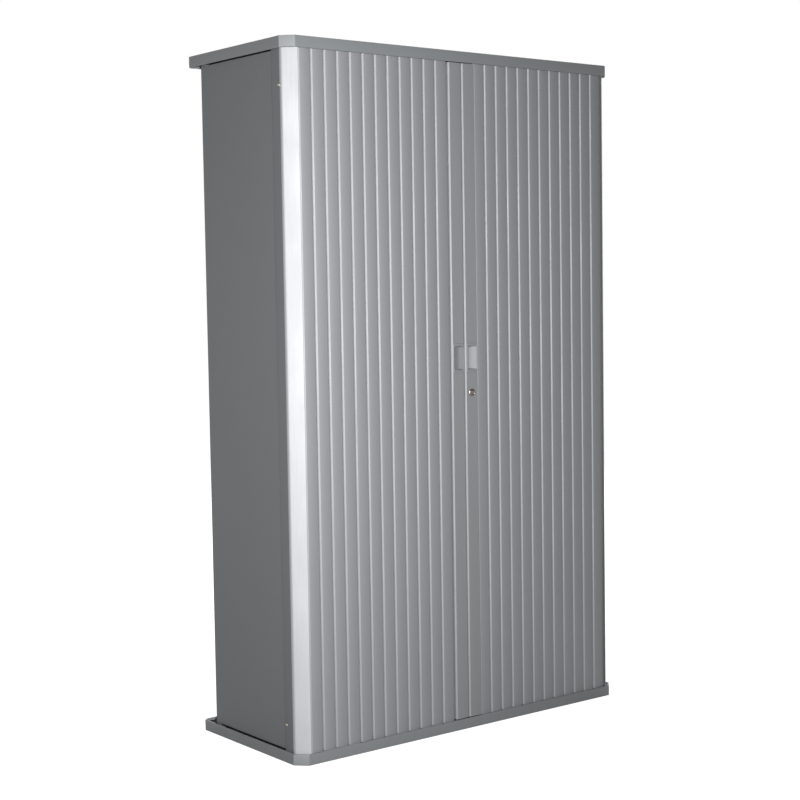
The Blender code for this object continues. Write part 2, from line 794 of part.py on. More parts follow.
def leading_stile(name, side, carrier):
    """Leading stile: a hollow bar with a cut-out for its handle cup."""
    outline = [
        (side * (STILE_INNER_X + along), STILE_FRONT + depth, 0)
        for along, depth in stile_profile()
    ]
    start = (0, 0, STILE_BOTTOM)
    end = (0, 0, TOP - STILE_BOTTOM)
    mesh = extruded(name, outline, start, end)
    stile = place(name, mesh, "stile_paint")
    walls = sorted((side * (STILE_INNER_X + STILE_WALL), side * (STILE_OUTER_X - STILE_WALL)))
    hollow_front = STILE_FRONT + STILE_WALL
    hollow_back = SLAT_BACK - STILE_WALL
    low = (walls[0], hollow_front, STILE_BOTTOM - CUT_OVERRUN)
    high = (walls[1], hollow_back, TOP - STILE_BOTTOM + CUT_OVERRUN)
    combine(stile, place(name + "_bore", block("bore", low, high), None), "DIFFERENCE")
    ends = (walls[0] - WELD_OVERLAP, walls[1] + WELD_OVERLAP)
    middle = side * CUP_X
    pins = (middle - PIN_WIDTH, middle + PIN_WIDTH)
    for height in (upright_height, mirrored_height):
        front = hollow_front - WELD_OVERLAP
        back = hollow_back + WELD_OVERLAP
        plug = runner(name + "_runner", *ends, front, back, pins, height)
        combine(stile, plug, "UNION")
    half_width = CUP_WIDTH / 2 + TOUCH_GAP
    half_height = CUP_HEIGHT / 2 + TOUCH_GAP
    low = (middle - half_width, STILE_FRONT - CUT_OVERRUN, HANDLE_HEIGHT - half_height)
    high = (middle + half_width, hollow_front + CUT_OVERRUN, HANDLE_HEIGHT + half_height)
    combine(stile, place(name + "_seat", block("seat", low, high), None), "DIFFERENCE")
    if side > 0:
        radius = LOCK_BARREL_RADIUS + TOUCH_GAP
        span = (STILE_FRONT - CUT_OVERRUN, SLAT_BACK + CUT_OVERRUN)
        rings = [turned_ring(radius, y, LOCK_X, LOCK_HEIGHT) for y in span]
        combine(stile, place(name + "_lock_bore", lofted("lock_bore", rings), None), "DIFFERENCE")
    stile.parent = carrier
    stile.matrix_parent_inverse = carrier.matrix_world.inverted()


def rounded_ring(start, end, bottom, top, radius, y):
    """Ring of a rectangle with round corners, upright at one depth."""
    points = []
    corners = (
        (end - radius, top - radius, 0),
        (start + radius, top - radius, 90),
        (start + radius, bottom + radius, 180),
        (end - radius, bottom + radius, 270),
    )
    for x, z, first in corners:
        for step in range(CUP_CORNER_STEPS + 1):
            angle = math.radians(first + 90 * step / CUP_CORNER_STEPS)
            points.append((x + radius * math.cos(angle), y, z + radius * math.sin(angle)))
    return points


def handle_cup(name, side, carrier):
    """Handle cup: a flanged plug with a scoop whose steep wall is next to the meeting edge."""

    def level(inset_inner, inset_outer, inset_ends, width, height, y, radius):
        inner = CUP_X - width / 2 + inset_inner
        outer = CUP_X + width / 2 - inset_outer
        bottom = HANDLE_HEIGHT - height / 2 + inset_ends
        top = HANDLE_HEIGHT + height / 2 - inset_ends
        ring = rounded_ring(inner, outer, bottom, top, radius, y)
        return [(side * x, depth, z) for x, depth, z in ring]

    def even(width, height, grow, y):
        return level(-grow, -grow, -grow, width, height, y, CUP_CORNER + grow)

    face = STILE_FRONT - CUP_FLANGE_PROUD
    seat = STILE_FRONT - TOUCH_GAP
    rings = [
        even(CUP_WIDTH, CUP_HEIGHT, 0, STILE_FRONT + CUP_DEPTH),
        even(CUP_WIDTH, CUP_HEIGHT, 0, seat),
        even(CUP_WIDTH, CUP_HEIGHT, CUP_FLANGE, seat),
        even(CUP_WIDTH, CUP_HEIGHT, CUP_FLANGE - CUP_FLANGE_BEVEL, face),
        even(MOUTH_WIDTH, MOUTH_HEIGHT, 0, face),
        level(
            SCOOP_GRIP_SLOPE,
            SCOOP_SLOPE,
            SCOOP_END_SLOPE,
            MOUTH_WIDTH,
            MOUTH_HEIGHT,
            STILE_FRONT + SCOOP_DEPTH,
            CUP_CORNER,
        ),
    ]
    cup = place(name, lofted(name, rings), "cup_plastic")
    cup.parent = carrier
    cup.matrix_parent_inverse = carrier.matrix_world.inverted()


def turned_ring(radius, y, x, z):
    """Ring of a turned piece whose axis runs along Y."""
    points = []
    for step in range(TURNED_STEPS):
        angle = 2 * math.pi * step / TURNED_STEPS
        points.append((x + radius * math.cos(angle), y, z + radius * math.sin(angle)))
    return points


def lock_housing(carrier):
    """Lock housing: a turned sleeve with a bevelled face."""
    section = [
        (PLUG_RADIUS + TOUCH_GAP, LOCK_FRONT),
        (LOCK_FACE_RADIUS - LOCK_FACE_BEVEL, LOCK_FRONT),
        (LOCK_FACE_RADIUS, LOCK_FRONT + LOCK_FACE_BEVEL),
        (LOCK_FACE_RADIUS, STILE_FRONT - TOUCH_GAP),
        (LOCK_BARREL_RADIUS, STILE_FRONT - TOUCH_GAP),
        (LOCK_BARREL_RADIUS, SLAT_BACK + RUNNING_GAP - TOUCH_GAP),
        (PLUG_RADIUS + TOUCH_GAP, SLAT_BACK + RUNNING_GAP - TOUCH_GAP),
    ]
    rings = [turned_ring(radius, y, 0, 0) for radius, y in section]
    mesh = lofted("lock_housing", rings, endless=True)
    shade_round(mesh)
    place("lock_housing", mesh, "lock_nickel", parent=carrier)


def lock_plug(carrier):
    """Lock plug: the turning core, with a keyway in front and a square spigot behind."""
    front = LOCK_FRONT + PLUG_SETBACK
    rings = [turned_ring(PLUG_RADIUS, y, 0, 0) for y in (front, CAM_FRONT - TOUCH_GAP)]
    plug = place("lock_plug", lofted("lock_plug", rings), "plug_brass", parent=carrier)
    half = SPIGOT_SIZE / 2
    low = (-half, CAM_FRONT - TOUCH_GAP - WELD_OVERLAP, -half)
    high = (half, CAM_BACK + TOUCH_GAP, half)
    spigot = place("lock_spigot", block("lock_spigot", low, high), None, parent=carrier)
    combine(plug, spigot, "UNION")
    low = (-KEYWAY_WIDTH / 2, front - CUT_OVERRUN, -KEYWAY_HEIGHT / 2)
    high = (KEYWAY_WIDTH / 2, front + KEYWAY_DEPTH, KEYWAY_HEIGHT / 2)
    keyway = place("lock_keyway", block("lock_keyway", low, high), None, parent=carrier)
    combine(plug, keyway, "DIFFERENCE")


def cam_outline():
    """Outline of the cam as (reach from the axis, rise), pointing along its arm."""
    tooth = CAM_REACH - CAM_TOOTH_WIDTH
    crest = CAM_ARM_RISE + CAM_TOOTH_HEIGHT
    start = math.asin(CAM_ARM_RISE / CAM_HUB_RADIUS)
    end = 2 * math.pi - math.asin(CAM_ARM_DROP / CAM_HUB_RADIUS)
    points = []
    for step in range(TURNED_STEPS // 2 + 1):
        angle = end + (start - end) * step / (TURNED_STEPS // 2)
        points.append((CAM_HUB_RADIUS * math.cos(angle), CAM_HUB_RADIUS * math.sin(angle)))
    return points + [
        (tooth, CAM_ARM_RISE),
        (tooth, crest),
        (CAM_REACH - CAM_NOSE_BEVEL, crest),
        (CAM_REACH, crest - CAM_NOSE_BEVEL),
        (CAM_REACH, CAM_NOSE_BEVEL - CAM_ARM_DROP),
        (CAM_REACH - CAM_NOSE_BEVEL, -CAM_ARM_DROP),
    ]


def lock_cam(carrier):
    """Lock cam: a hook on the plug's spigot that hangs down while the doors are unlocked."""
    outline = [(-rise, 0, -reach) for reach, rise in cam_outline()]
    mesh = extruded("lock_cam", outline, (0, CAM_FRONT, 0), (0, CAM_BACK, 0))
    cam = place("lock_cam", mesh, "cam_steel", parent=carrier)
    half = SPIGOT_SIZE / 2 + TOUCH_GAP
    low = (-half, CAM_FRONT - CUT_OVERRUN, -half)
    high = (half, CAM_BACK + CUT_OVERRUN, half)
    hole = place("lock_cam_hole", block("lock_cam_hole", low, high), None, parent=carrier)
    combine(cam, hole, "DIFFERENCE")


def lock_keeper(carrier):
    """Lock keeper: a plate on the left stile's back with a lug that the cam hooks behind."""
    lug_end = LOCK_X - CAM_REACH + CAM_TOOTH_WIDTH + RUNNING_GAP
    lug_start = lug_end + KEEPER_LUG_WIDTH
    lug_bottom = LOCK_HEIGHT + CAM_ARM_RISE + RUNNING_GAP
    plate_bottom = lug_bottom + CAM_TOOTH_HEIGHT + RUNNING_GAP
    plate_top = plate_bottom + KEEPER_PLATE_HEIGHT
    plate_start = -STILE_INNER_X - KEEPER_EDGE_INSET
    plate_end = plate_start - KEEPER_PLATE_WIDTH
    outline = [
        (plate_end, plate_bottom),
        (lug_end, plate_bottom),
        (lug_end, lug_bottom),
        (lug_start, lug_bottom),
        (lug_start, plate_bottom),
        (plate_start, plate_bottom),
        (plate_start, plate_top),
        (plate_end, plate_top),
    ]
    front = SLAT_BACK + TOUCH_GAP
    mesh = extruded(
        "lock_keeper",
        [(x, 0, z) for x, z in outline],
        (0, front, 0),
        (0, front + KEEPER_THICKNESS, 0),
    )
    keeper = place("lock_keeper", mesh, "keeper_steel")
    keeper.parent = carrier
    keeper.matrix_parent_inverse = carrier.matrix_world.inverted()


def carcass():
    """Everything that stands still."""
    frame_ring("base_frame", upright_height)
    frame_ring("top_frame", mirrored_height)
    board("base_panel", upright_height)
    board("top_panel", mirrored_height)
    back_panel()
    for door, side in (("left", -1), ("right", 1)):
        front_post(f"{door}_front_post", side)
        rear_post(f"{door}_rear_post", side)
        side_panel(f"{door}_side_panel", side)
        inner_liner(f"{door}_inner_liner", side)
        slotted_upright(f"{door}_front_upright", side, UPRIGHT_FRONT_Y)
        slotted_upright(f"{door}_rear_upright", side, UPRIGHT_REAR_Y)
        curtain_track(f"{door}_lower_track", side, upright_height)
        curtain_track(f"{door}_upper_track", side, mirrored_height)
    shelves()


def doors():
    """The two doors, and the lock that ties them together."""
    left = empty("left_door_slide", (-STILE_INNER_X, STILE_FRONT, TOP / 2))
    right = empty("right_door_slide", (STILE_INNER_X, STILE_FRONT, TOP / 2))
    lock_axis = empty("lock_axis", (LOCK_X, 0, LOCK_HEIGHT))
    bpy.context.view_layer.update()
    for door, side, carrier in (("left", -1, left), ("right", 1, right)):
        leading_stile(f"{door}_stile", side, carrier)
        handle_cup(f"{door}_handle_cup", side, carrier)
        slats(door, side)
    lock_keeper(left)
    lock_housing(lock_axis)
    lock_plug(lock_axis)
    lock_cam(lock_axis)


def main():
    """Clear the scene and build the cabinet."""
    for thing in list(bpy.data.objects):
        bpy.data.objects.remove(thing)
    carcass()
    doors()


main()
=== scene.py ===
"""Looks of a tall tambour door cabinet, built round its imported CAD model.

Lengths are in metres. The cabinet stands on the floor at Z = 0 with its front towards -Y.
"""

import logging
import math
from dataclasses import dataclass, field
from enum import Enum

import bmesh
import bpy
import numpy as np
from mathutils import Matrix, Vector
from numpy.typing import NDArray


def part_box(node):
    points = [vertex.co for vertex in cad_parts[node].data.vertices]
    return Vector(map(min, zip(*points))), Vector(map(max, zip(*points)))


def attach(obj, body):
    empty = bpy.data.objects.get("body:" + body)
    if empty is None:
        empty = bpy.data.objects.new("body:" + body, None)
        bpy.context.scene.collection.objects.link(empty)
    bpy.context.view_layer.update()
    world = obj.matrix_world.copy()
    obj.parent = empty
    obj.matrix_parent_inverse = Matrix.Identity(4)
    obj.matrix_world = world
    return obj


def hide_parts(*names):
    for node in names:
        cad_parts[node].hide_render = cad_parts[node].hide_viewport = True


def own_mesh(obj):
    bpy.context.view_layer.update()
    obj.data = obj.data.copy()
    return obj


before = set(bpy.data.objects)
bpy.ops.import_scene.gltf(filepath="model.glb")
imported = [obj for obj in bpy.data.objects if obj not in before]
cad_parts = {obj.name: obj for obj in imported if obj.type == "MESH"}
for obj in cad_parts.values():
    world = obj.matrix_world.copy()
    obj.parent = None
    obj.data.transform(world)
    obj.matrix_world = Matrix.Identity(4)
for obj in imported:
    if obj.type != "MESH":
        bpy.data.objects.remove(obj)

LOG = logging.getLogger("tambour_cabinet")
CARCASS = "carcass"
SHELF_COUNT = 4

# Gap between pieces that touch, gap under a seated piece, and overrun of a cut
GAP = 0.0003
SEAT_GAP = GAP / 3
OVERRUN = 0.002

# Edges sharper than this stay sharp; turned and moulded pieces have the second angle
SHARP_DEGREES = 25
ROUND_SHARP_DEGREES = 40

# Sum of the two noises of a finish, from its lightest to its darkest places
NOISE_RANGE = (0.7, 1.3)

# Points of a finely drawn curve
CURVE_POINTS = 13


class Side(Enum):
    """Side of the cabinet that a piece is on, as the sign of its X."""

    LEFT = -1
    RIGHT = 1

    @property
    def door(self) -> str:
        """Word that the names on this side begin with."""
        return self.name.lower()


def distances(node: str) -> tuple[float, float]:
    """Measure how far a node on one side lies from the cabinet's middle.

    Args:
        node: the node's name.

    Returns:
        Distances of its inner and its outer side.
    """
    low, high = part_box(node)
    return min(abs(low.x), abs(high.x)), max(abs(low.x), abs(high.x))


# Colours and nodes


def linear_rgba(code: str) -> tuple[float, float, float, float]:
    """Turn an sRGB hex colour into linear light.

    Args:
        code: six hex digits, such as "8C9093".

    Returns:
        Red, green, blue and an alpha of 1.
    """
    channels = np.array([int(code[i : i + 2], 16) for i in (0, 2, 4)]) / 255
    low = channels / 12.92
    high = ((channels + 0.055) / 1.055) ** 2.4
    red, green, blue = np.where(channels <= 0.04045, low, high).tolist()
    return red, green, blue, 1.0


def add_node(
    tree: bpy.types.NodeTree, kind: str, inputs: dict[str | int, object], **settings: object
) -> bpy.types.Node:
    """Add a node with its settings and links.

    Args:
        tree: the node tree it goes into.
        kind: the node's type name.
        inputs: a value or another node's output for each named or numbered input.
        settings: the node's own options.

    Returns:
        The new node.
    """
    made = tree.nodes.new(kind)
    for name, value in settings.items():
        setattr(made, name, value)
    for key, value in inputs.items():
        if isinstance(value, bpy.types.NodeSocket):
            tree.links.new(value, made.inputs[key])
        else:
            made.inputs[key].default_value = value
    return made


class Grain(Enum):
    """How a finish's fine surface runs, as how far the pattern is drawn out along X, Y and Z."""

    EVEN = (1.0, 1.0, 1.0)
    UPRIGHT = (1.0, 1.0, 60.0)
    SIDEWAYS = (60.0, 1.0, 1.0)


@dataclass(frozen=True)
class Finish:
    """A real material with the surface that its making leaves."""

    name: str
    colour: str
    shade: str
    roughness: float
    grain_mm: float
    depth_mm: float
    grain: Grain = Grain.EVEN
    metallic: float = 0.0
    ior: float = 1.5
    tone_span: float = 0.35
    gloss_span: float = 0.05
    patch_mm: float = 240.0

    def material(self) -> bpy.types.Material:
        """Make this finish's material, or return it if it is there already.

        Returns:
            A material whose grain and faint patches are worked out in object coordinates.
        """
        known = bpy.data.materials.get(self.name)
        if known:
            return known
        made = bpy.data.materials.new(self.name)
        made.use_nodes = True
        tree = made.node_tree
        shader = tree.nodes["Principled BSDF"]
        place = add_node(tree, "ShaderNodeTexCoord", {}).outputs["Object"]
        stretch = add_node(
            tree,
            "ShaderNodeMapping",
            {"Vector": place, "Scale": tuple(1 / s for s in self.grain.value)},
        )
        fine = add_node(
            tree,
            "ShaderNodeTexNoise",
            {
                "Vector": stretch.outputs["Vector"],
                "Scale": 1000 / self.grain_mm,
                "Detail": 3.0,
                "Roughness": 0.6,
            },
        ).outputs["Fac"]
        patch = add_node(
            tree,
            "ShaderNodeTexNoise",
            {"Vector": place, "Scale": 1000 / self.patch_mm, "Detail": 4.0, "Roughness": 0.5},
        ).outputs["Fac"]
        both = add_node(tree, "ShaderNodeMath", {0: fine, 1: patch}, operation="ADD")
        tone = add_node(
            tree,
            "ShaderNodeMapRange",
            {
                "Value": both.outputs[0],
                "From Min": NOISE_RANGE[0],
                "From Max": NOISE_RANGE[1],
                "To Min": 0.5 - self.tone_span / 2,
                "To Max": 0.5 + self.tone_span / 2,
            },
        )
        colour = add_node(
            tree,
            "ShaderNodeMix",
            {0: tone.outputs["Result"], 6: linear_rgba(self.colour), 7: linear_rgba(self.shade)},
            data_type="RGBA",
        )
        gloss = add_node(
            tree,
            "ShaderNodeMapRange",
            {
                "Value": both.outputs[0],
                "From Min": NOISE_RANGE[0],
                "From Max": NOISE_RANGE[1],
                "To Min": self.roughness - self.gloss_span,
                "To Max": self.roughness + self.gloss_span,
            },
        )
        bump = add_node(
            tree,
            "ShaderNodeBump",
            {"Height": fine, "Distance": self.depth_mm / 1000, "Strength": 1.0},
        )
        tree.links.new(colour.outputs[2], shader.inputs["Base Color"])
        tree.links.new(gloss.outputs["Result"], shader.inputs["Roughness"])
        tree.links.new(bump.outputs["Normal"], shader.inputs["Normal"])
        shader.inputs["Metallic"].default_value = self.metallic
        if not self.metallic:
            shader.inputs["IOR"].default_value = self.ior
        return made


# Moulded rims in grey aluminium paint: fine grain of a spark-eroded mould under metal flakes
MOULDED_RIM = Finish(
    "painted_polypropylene", "8F9294", "8A8D8F", 0.66, 1.6, 0.02, metallic=0.45, ior=1.3
)
# Powder-coated steel in grey aluminium: a smooth skin with a faint orange peel of about 3 mm
SIDE_COAT = Finish(
    "powder_coated_steel_grey", "858789", "808385", 0.64, 3.2, 0.02, metallic=0.6
)
INSIDE_COAT = Finish("powder_coated_steel_light", "909294", "898B8D", 0.48, 3.2, 0.02)
# Extruded and sprayed slats in white aluminium, with die lines along their length
SLAT_COAT = Finish(
    "extruded_slat_silver", "9D9FA2", "98999C", 0.62, 2.4, 0.010, Grain.UPRIGHT, metallic=0.5
)
STILE_COAT = Finish(
    "painted_aluminium_stile", "9B9D9F", "96989A", 0.62, 2.4, 0.006, Grain.UPRIGHT, metallic=0.5
)
# Natural anodised aluminium: bright and matt, with fine upright die lines
ANODISED = Finish(
    "anodised_aluminium", "CACBCD", "C4C5C7", 0.75, 1.2, 0.006, Grain.UPRIGHT, metallic=1.0
)
# Melamine-faced chipboard: matt, with a pearl-like print
MELAMINE = Finish("melamine_chipboard", "717476", "696B6D", 0.55, 2.0, 0.02)
# Moulded ABS cups, sprayed in white aluminium
MOULDED_CUP = Finish(
    "moulded_abs_cup", "98999C", "929396", 0.60, 1.4, 0.01, metallic=0.42
)
# Nylon track: black, dull, with runner marks along it
NYLON = Finish("black_nylon_track", "242426", "1C1C1E", 0.5, 1.8, 0.02)
# Painted shade: a black, dull strip with an open-celled grain, laid in the rims' grooves where the
# gaps beside the side panels lie in shadow
GROOVE_SHADE = Finish("painted_groove_shade", "161618", "0F0F11", 0.95, 1.2, 0.10, ior=1.2)
# Nickel plate on the lock: warm grey mirror dulled by handling
NICKEL = Finish("nickel_plated_brass", "B3ACAA", "A8A09E", 0.32, 1.0, 0.004, metallic=1.0)
DARK_NICKEL = Finish("handled_nickel_plug", "A69B97", "968A8B", 0.60, 0.8, 0.004, metallic=0.8)
# Zinc-plated steel: blue-grey with a cloudy bloom; the screws have a yellow passivated film
ZINC = Finish("zinc_plated_steel", "A3A6A8", "929599", 0.34, 4.0, 0.006, metallic=1.0)
YELLOW_ZINC = Finish("yellow_zinc_screw", "CDC4B3", "C4B9A1", 0.48, 1.0, 0.004, metallic=1.0)


# Shapes


@dataclass
class Shell:
    """Points and faces of one closed surface."""

    points: NDArray
    faces: list[list[int]]

    @staticmethod
    def from_rings(rings: NDArray, endless: bool = False) -> "Shell":
        """Join a stack of closed rings with quads.

        Args:
            rings: array of ring, point and coordinate.
            endless: whether the last ring joins the first; otherwise both ends get a cap.

        Returns:
            The closed shell: face (i, j) joins points j and j + 1 of rings i and i + 1.
        """
        count, size = rings.shape[:2]
        index = np.arange(count * size).reshape(count, size)
        rows = np.vstack([index, index[:1]]) if endless else index
        wide = np.hstack([rows, rows[:, :1]])
        corners = (wide[:-1, :-1], wide[:-1, 1:], wide[1:, 1:], wide[1:, :-1])
        faces = np.stack(corners, axis=-1).reshape(-1, 4).tolist()
        if not endless:
            faces += [index[0, ::-1].tolist(), index[-1].tolist()]
        return Shell(rings.reshape(-1, 3), faces)

    @staticmethod
    def extruded(outline: NDArray, bottom: float, top: float) -> "Shell":
        """Raise a plan outline: both rings have its X and Y, and Z is bottom, then top.

        Args:
            outline: array of corner and coordinate, with X and Y.
            bottom: height of the lower ring.
            top: height of the upper ring.

        Returns:
            The closed shell.
        """
        levels = np.array([bottom, top])
        rings = np.empty((2, len(outline), 3))
        rings[:, :, :2] = outline
        rings[:, :, 2] = levels[:, None]
        return Shell.from_rings(rings)

    @staticmethod
    def block(low: tuple[float, ...], high: tuple[float, ...]) -> "Shell":
        """Make a box between two corners.

        Args:
            low: its lowest corner.
            high: its highest corner.

        Returns:
            The closed shell.
        """
        (x0, y0, z0), (x1, y1, z1) = low, high
        outline = np.array([(x0, y0), (x1, y0), (x1, y1), (x0, y1)])
        return Shell.extruded(outline, z0, z1)


@dataclass
class Piece:
    """A named surface that rides on a body of the CAD model."""

    name: str
    shells: list[Shell]
    finish: Finish
    body: str = CARCASS
    slot: str = ""
    stands_for: tuple[str, ...] = ()
    sharp: float = SHARP_DEGREES
    cutters: list[Shell] = field(default_factory=list)

    def _object(self, name: str, shells: list[Shell]) -> bpy.types.Object:
        """Put shells into one mesh object whose faces point outwards.

        Args:
            name: the object's name.
            shells: the closed surfaces that it is made of.

        Returns:
            The new object.
        """
        offsets = np.cumsum([0, *[len(shell.points) for shell in shells]])
        faces = [
            [corner + int(offset) for corner in face]
            for shell, offset in zip(shells, offsets)
            for face in shell.faces
        ]
        mesh = bpy.data.meshes.new(name)
        mesh.from_pydata(np.vstack([shell.points for shell in shells]), [], faces)
        shape = bmesh.new()
        shape.from_mesh(mesh)
        bmesh.ops.recalc_face_normals(shape, faces=shape.faces[:])
        shape.to_mesh(mesh)
        shape.free()
        made = bpy.data.objects.new(name, mesh)
        bpy.context.scene.collection.objects.link(made)
        return made

    def build(self) -> bpy.types.Object:
        """Make the piece, dress it and hang it on its body.

        Returns:
            The piece's object.
        """
        made = self._object(self.name, self.shells)
        for number, cutter in enumerate(self.cutters):
            tool = self._object(f"{self.name}_cutter_{number}", [cutter])
            cut = made.modifiers.new(tool.name, "BOOLEAN")
            cut.operation = "DIFFERENCE"
            cut.solver = "EXACT"
            cut.object = tool
        if self.cutters:
            tools = [cut.object for cut in made.modifiers]
            state = made.evaluated_get(bpy.context.evaluated_depsgraph_get())
            cut_mesh = bpy.data.meshes.new_from_object(state)
            made.modifiers.clear()
            made.data = cut_mesh
            for tool in tools:
                bpy.data.objects.remove(tool)
        made.data.shade_smooth()
        made.data.set_sharp_from_angle(angle=math.radians(self.sharp))
        made.data.materials.clear()
        made.data.materials.append(self.finish.material())
        if self.stands_for:
            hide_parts(*self.stands_for)
        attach(made, self.body)
        LOG.info("built %s on %s", self.name, self.body)
        return made


def dress(finish: Finish, *nodes: str) -> None:
    """Give CAD nodes a finish.

    Args:
        finish: the finish that they get.
        nodes: the nodes' names.
    """
    for name in nodes:
        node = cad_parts[name]
        node.data.materials.clear()
        node.data.materials.append(finish.material())
        LOG.info("dressed %s in %s", name, finish.name)


def rounded(outline: NDArray, cut: NDArray | float, steps: int = 4) -> NDArray:
    """Round the corners of a closed outline.

    Each corner p gives way to the curve (1-s)^2 a + 2 s (1-s) p + s^2 b for s from 0 to 1, where
    a and b lie on its two sides, the cut length away from p.

    Args:
        outline: array of corner and coordinate.
        cut: length cut back along both sides of each corner; 0 keeps a corner as it is.
        steps: segments in each curve.

    Returns:
        The outline with its curves.
    """
    lengths = np.broadcast_to(np.asarray(cut, float), len(outline))
    back = np.roll(outline, 1, axis=0) - outline
    ahead = np.roll(outline, -1, axis=0) - outline
    back = back / np.linalg.norm(back, axis=1, keepdims=True)
    ahead = ahead / np.linalg.norm(ahead, axis=1, keepdims=True)
    start = outline + back * lengths[:, None]
    end = outline + ahead * lengths[:, None]
    s = np.linspace(0, 1, steps + 1)[None, :, None]
    middle = outline[:, None]
    curve = (1 - s) ** 2 * start[:, None] + 2 * s * (1 - s) * middle + s**2 * end[:, None]
    kept = (lengths[:, None] > 0) | (np.arange(steps + 1)[None] == 0)
    return curve[kept]


def corner_curve(leg: float, crown: float, steps: int = 16) -> NDArray:
    """Curve of a crowned 45 degree bevel.

    For t from 0 to 1 and a = 90 degrees times t, the distances from the square corner are
    leg (crown (1 - sin a) + (1 - crown) (1 - t)) along one side, and
    leg (crown (1 - cos a) + (1 - crown) t) along the other.

    Args:
        leg: length of the bevel along each side.
        crown: share of a full quarter round that the bevel bulges by.
        steps: segments of the curve.

    Returns:
        Array of point and distance.
    """
    t = np.linspace(0, 1, steps + 1)
    angle = t * np.pi / 2
    along = crown * (1 - np.sin(angle)) + (1 - crown) * (1 - t)
    across = crown * (1 - np.cos(angle)) + (1 - crown) * t
    return leg * np.column_stack([along, across])


def lathe(
    profile: NDArray, x: float, z: float, endless: bool = True, steps: int = 64
) -> Shell:
    """Turn a profile of (radius, Y) pairs round an axis along Y.

    A point at angle t has X = x + radius cos t and Z = z + radius sin t.

    Args:
        profile: array of point and (radius, Y).
        x: the axis's X.
        z: the axis's Z.
        endless: whether the profile is a closed section; otherwise its ends get caps.
        steps: points of each turn.

    Returns:
        The turned shell.
    """
    angle = np.linspace(0, 2 * np.pi, steps, endpoint=False)[None]
    radius, depth = profile[:, :1], profile[:, 1:]
    ring_x = x + radius * np.cos(angle)
    ring_z = z + radius * np.sin(angle)
    rings = np.stack([ring_x, np.broadcast_to(depth, ring_x.shape), ring_z], axis=-1)
    return Shell.from_rings(rings, endless)


# Carcass


@dataclass
class Rims:
    """Top and base rims: a raised edge, with bevelled front corners, round a lower shoulder."""

    front_leg: float = 0.031
    rear_leg: float = 0.018
    crown: float = 0.06
    front_width: float = 0.008
    side_width: float = 0.014
    rear_width: float = 0.044
    corner_width: float = 0.0148
    inner_rear_leg: float = 0.010
    ledge_width: float = 0.015
    ledge: float = 0.0027
    edge_width: float = 0.004
    edge_round: float = 0.0018
    inner_round: float = 0.0008
    edge_points: int = 6

    def _outline(
        self, x: float, front: float, rear: float, front_leg: float, rear_leg: float
    ) -> NDArray:
        """Draw a plan outline with bevelled front corners and round rear corners.

        Args:
            x: distance of its sides from the middle.
            front: Y of its front.
            rear: Y of its rear.
            front_leg: length of a front bevel along each side.
            rear_leg: radius of a rear corner.

        Returns:
            X and Y of each point, anticlockwise from the front left.
        """
        front_curve = corner_curve(front_leg, self.crown)
        rear_curve = corner_curve(rear_leg, 1.0)
        near = np.array([x, front])
        far = np.array([x, rear])
        right_front = near + front_curve * (-1, 1)
        right_rear = far - rear_curve
        mirror = np.array([-1, 1])
        left_rear = right_rear[::-1] * mirror
        left_front = right_front[::-1] * mirror
        return np.vstack([left_front, right_front, right_rear[::-1], left_rear[::-1]])

    def _ring(self, node: str, inner: bool, inset: float, level: float) -> NDArray:
        """Draw the rim's ring at one level.

        Args:
            node: the frame that it stands for.
            inner: whether it follows the inner outline.
            inset: how far it is drawn in from that outline.
            level: its height.

        Returns:
            Array of point and coordinate.
        """
        low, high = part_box(node)
        shrink = inset * (2 - math.sqrt(2))
        if inner:
            leg = self.front_leg + self.corner_width * math.sqrt(2)
            leg -= self.side_width + self.front_width
            outline = self._outline(
                high.x - self.side_width - inset,
                low.y + self.front_width + inset,
                high.y - self.rear_width - inset,
                leg,
                self.inner_rear_leg,
            )
        else:
            outline = self._outline(
                high.x - inset,
                low.y + inset,
                high.y - inset,
                self.front_leg - shrink,
                self.rear_leg - shrink,
            )
        return np.column_stack([outline, np.full(len(outline), level)])

    def _section(self, height: float, shoulder: float) -> list[tuple[bool, float, float]]:
        """Draw the section of a rim that lies as the base one does.

        An edge of radius r has points r (1 - sin a) in and r (1 - cos a) down, for a from 0 to
        90 degrees.

        Args:
            height: the rim's height.
            shoulder: level of the shoulder inside its raised edge.

        Returns:
            For each point, whether it is on the inner outline, its inset and its level.
        """
        angle = np.radians(np.linspace(0, 90, self.edge_points))
        turned = list(zip(np.sin(angle), np.cos(angle)))
        e, r = self.edge_round, self.inner_round
        lower = [(False, e * (1 - s), e * (1 - c)) for s, c in turned]
        upper = [(False, inset, height - level) for _, inset, level in lower[::-1]]
        lip = [(False, self.edge_width - r * (1 - s), height - r * (1 - c)) for s, c in turned]
        return [
            *lower,
            *upper,
            *lip,
            (False, self.edge_width, shoulder),
            (True, 0.0, shoulder),
            (True, 0.0, self.ledge),
            (True, self.ledge_width, self.ledge),
            (True, self.ledge_width, 0.0),
        ]

    def build(self) -> None:
        """Build both rims; the top one is the base one turned over."""
        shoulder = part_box("base_panel")[1].z
        for name, node, over in (("base_rim", "base_frame", False), ("top_rim", "top_frame", True)):
            low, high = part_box(node)
            rings = []
            for inner, inset, level in self._section(high.z - low.z, shoulder):
                place = high.z - level if over else low.z + level
                rings.append(self._ring(node, inner, inset, place))
            shell = Shell.from_rings(np.array(rings), endless=True)
            Piece(name, [shell], MOULDED_RIM, slot="frame_plastic", stands_for=(node,)).build()


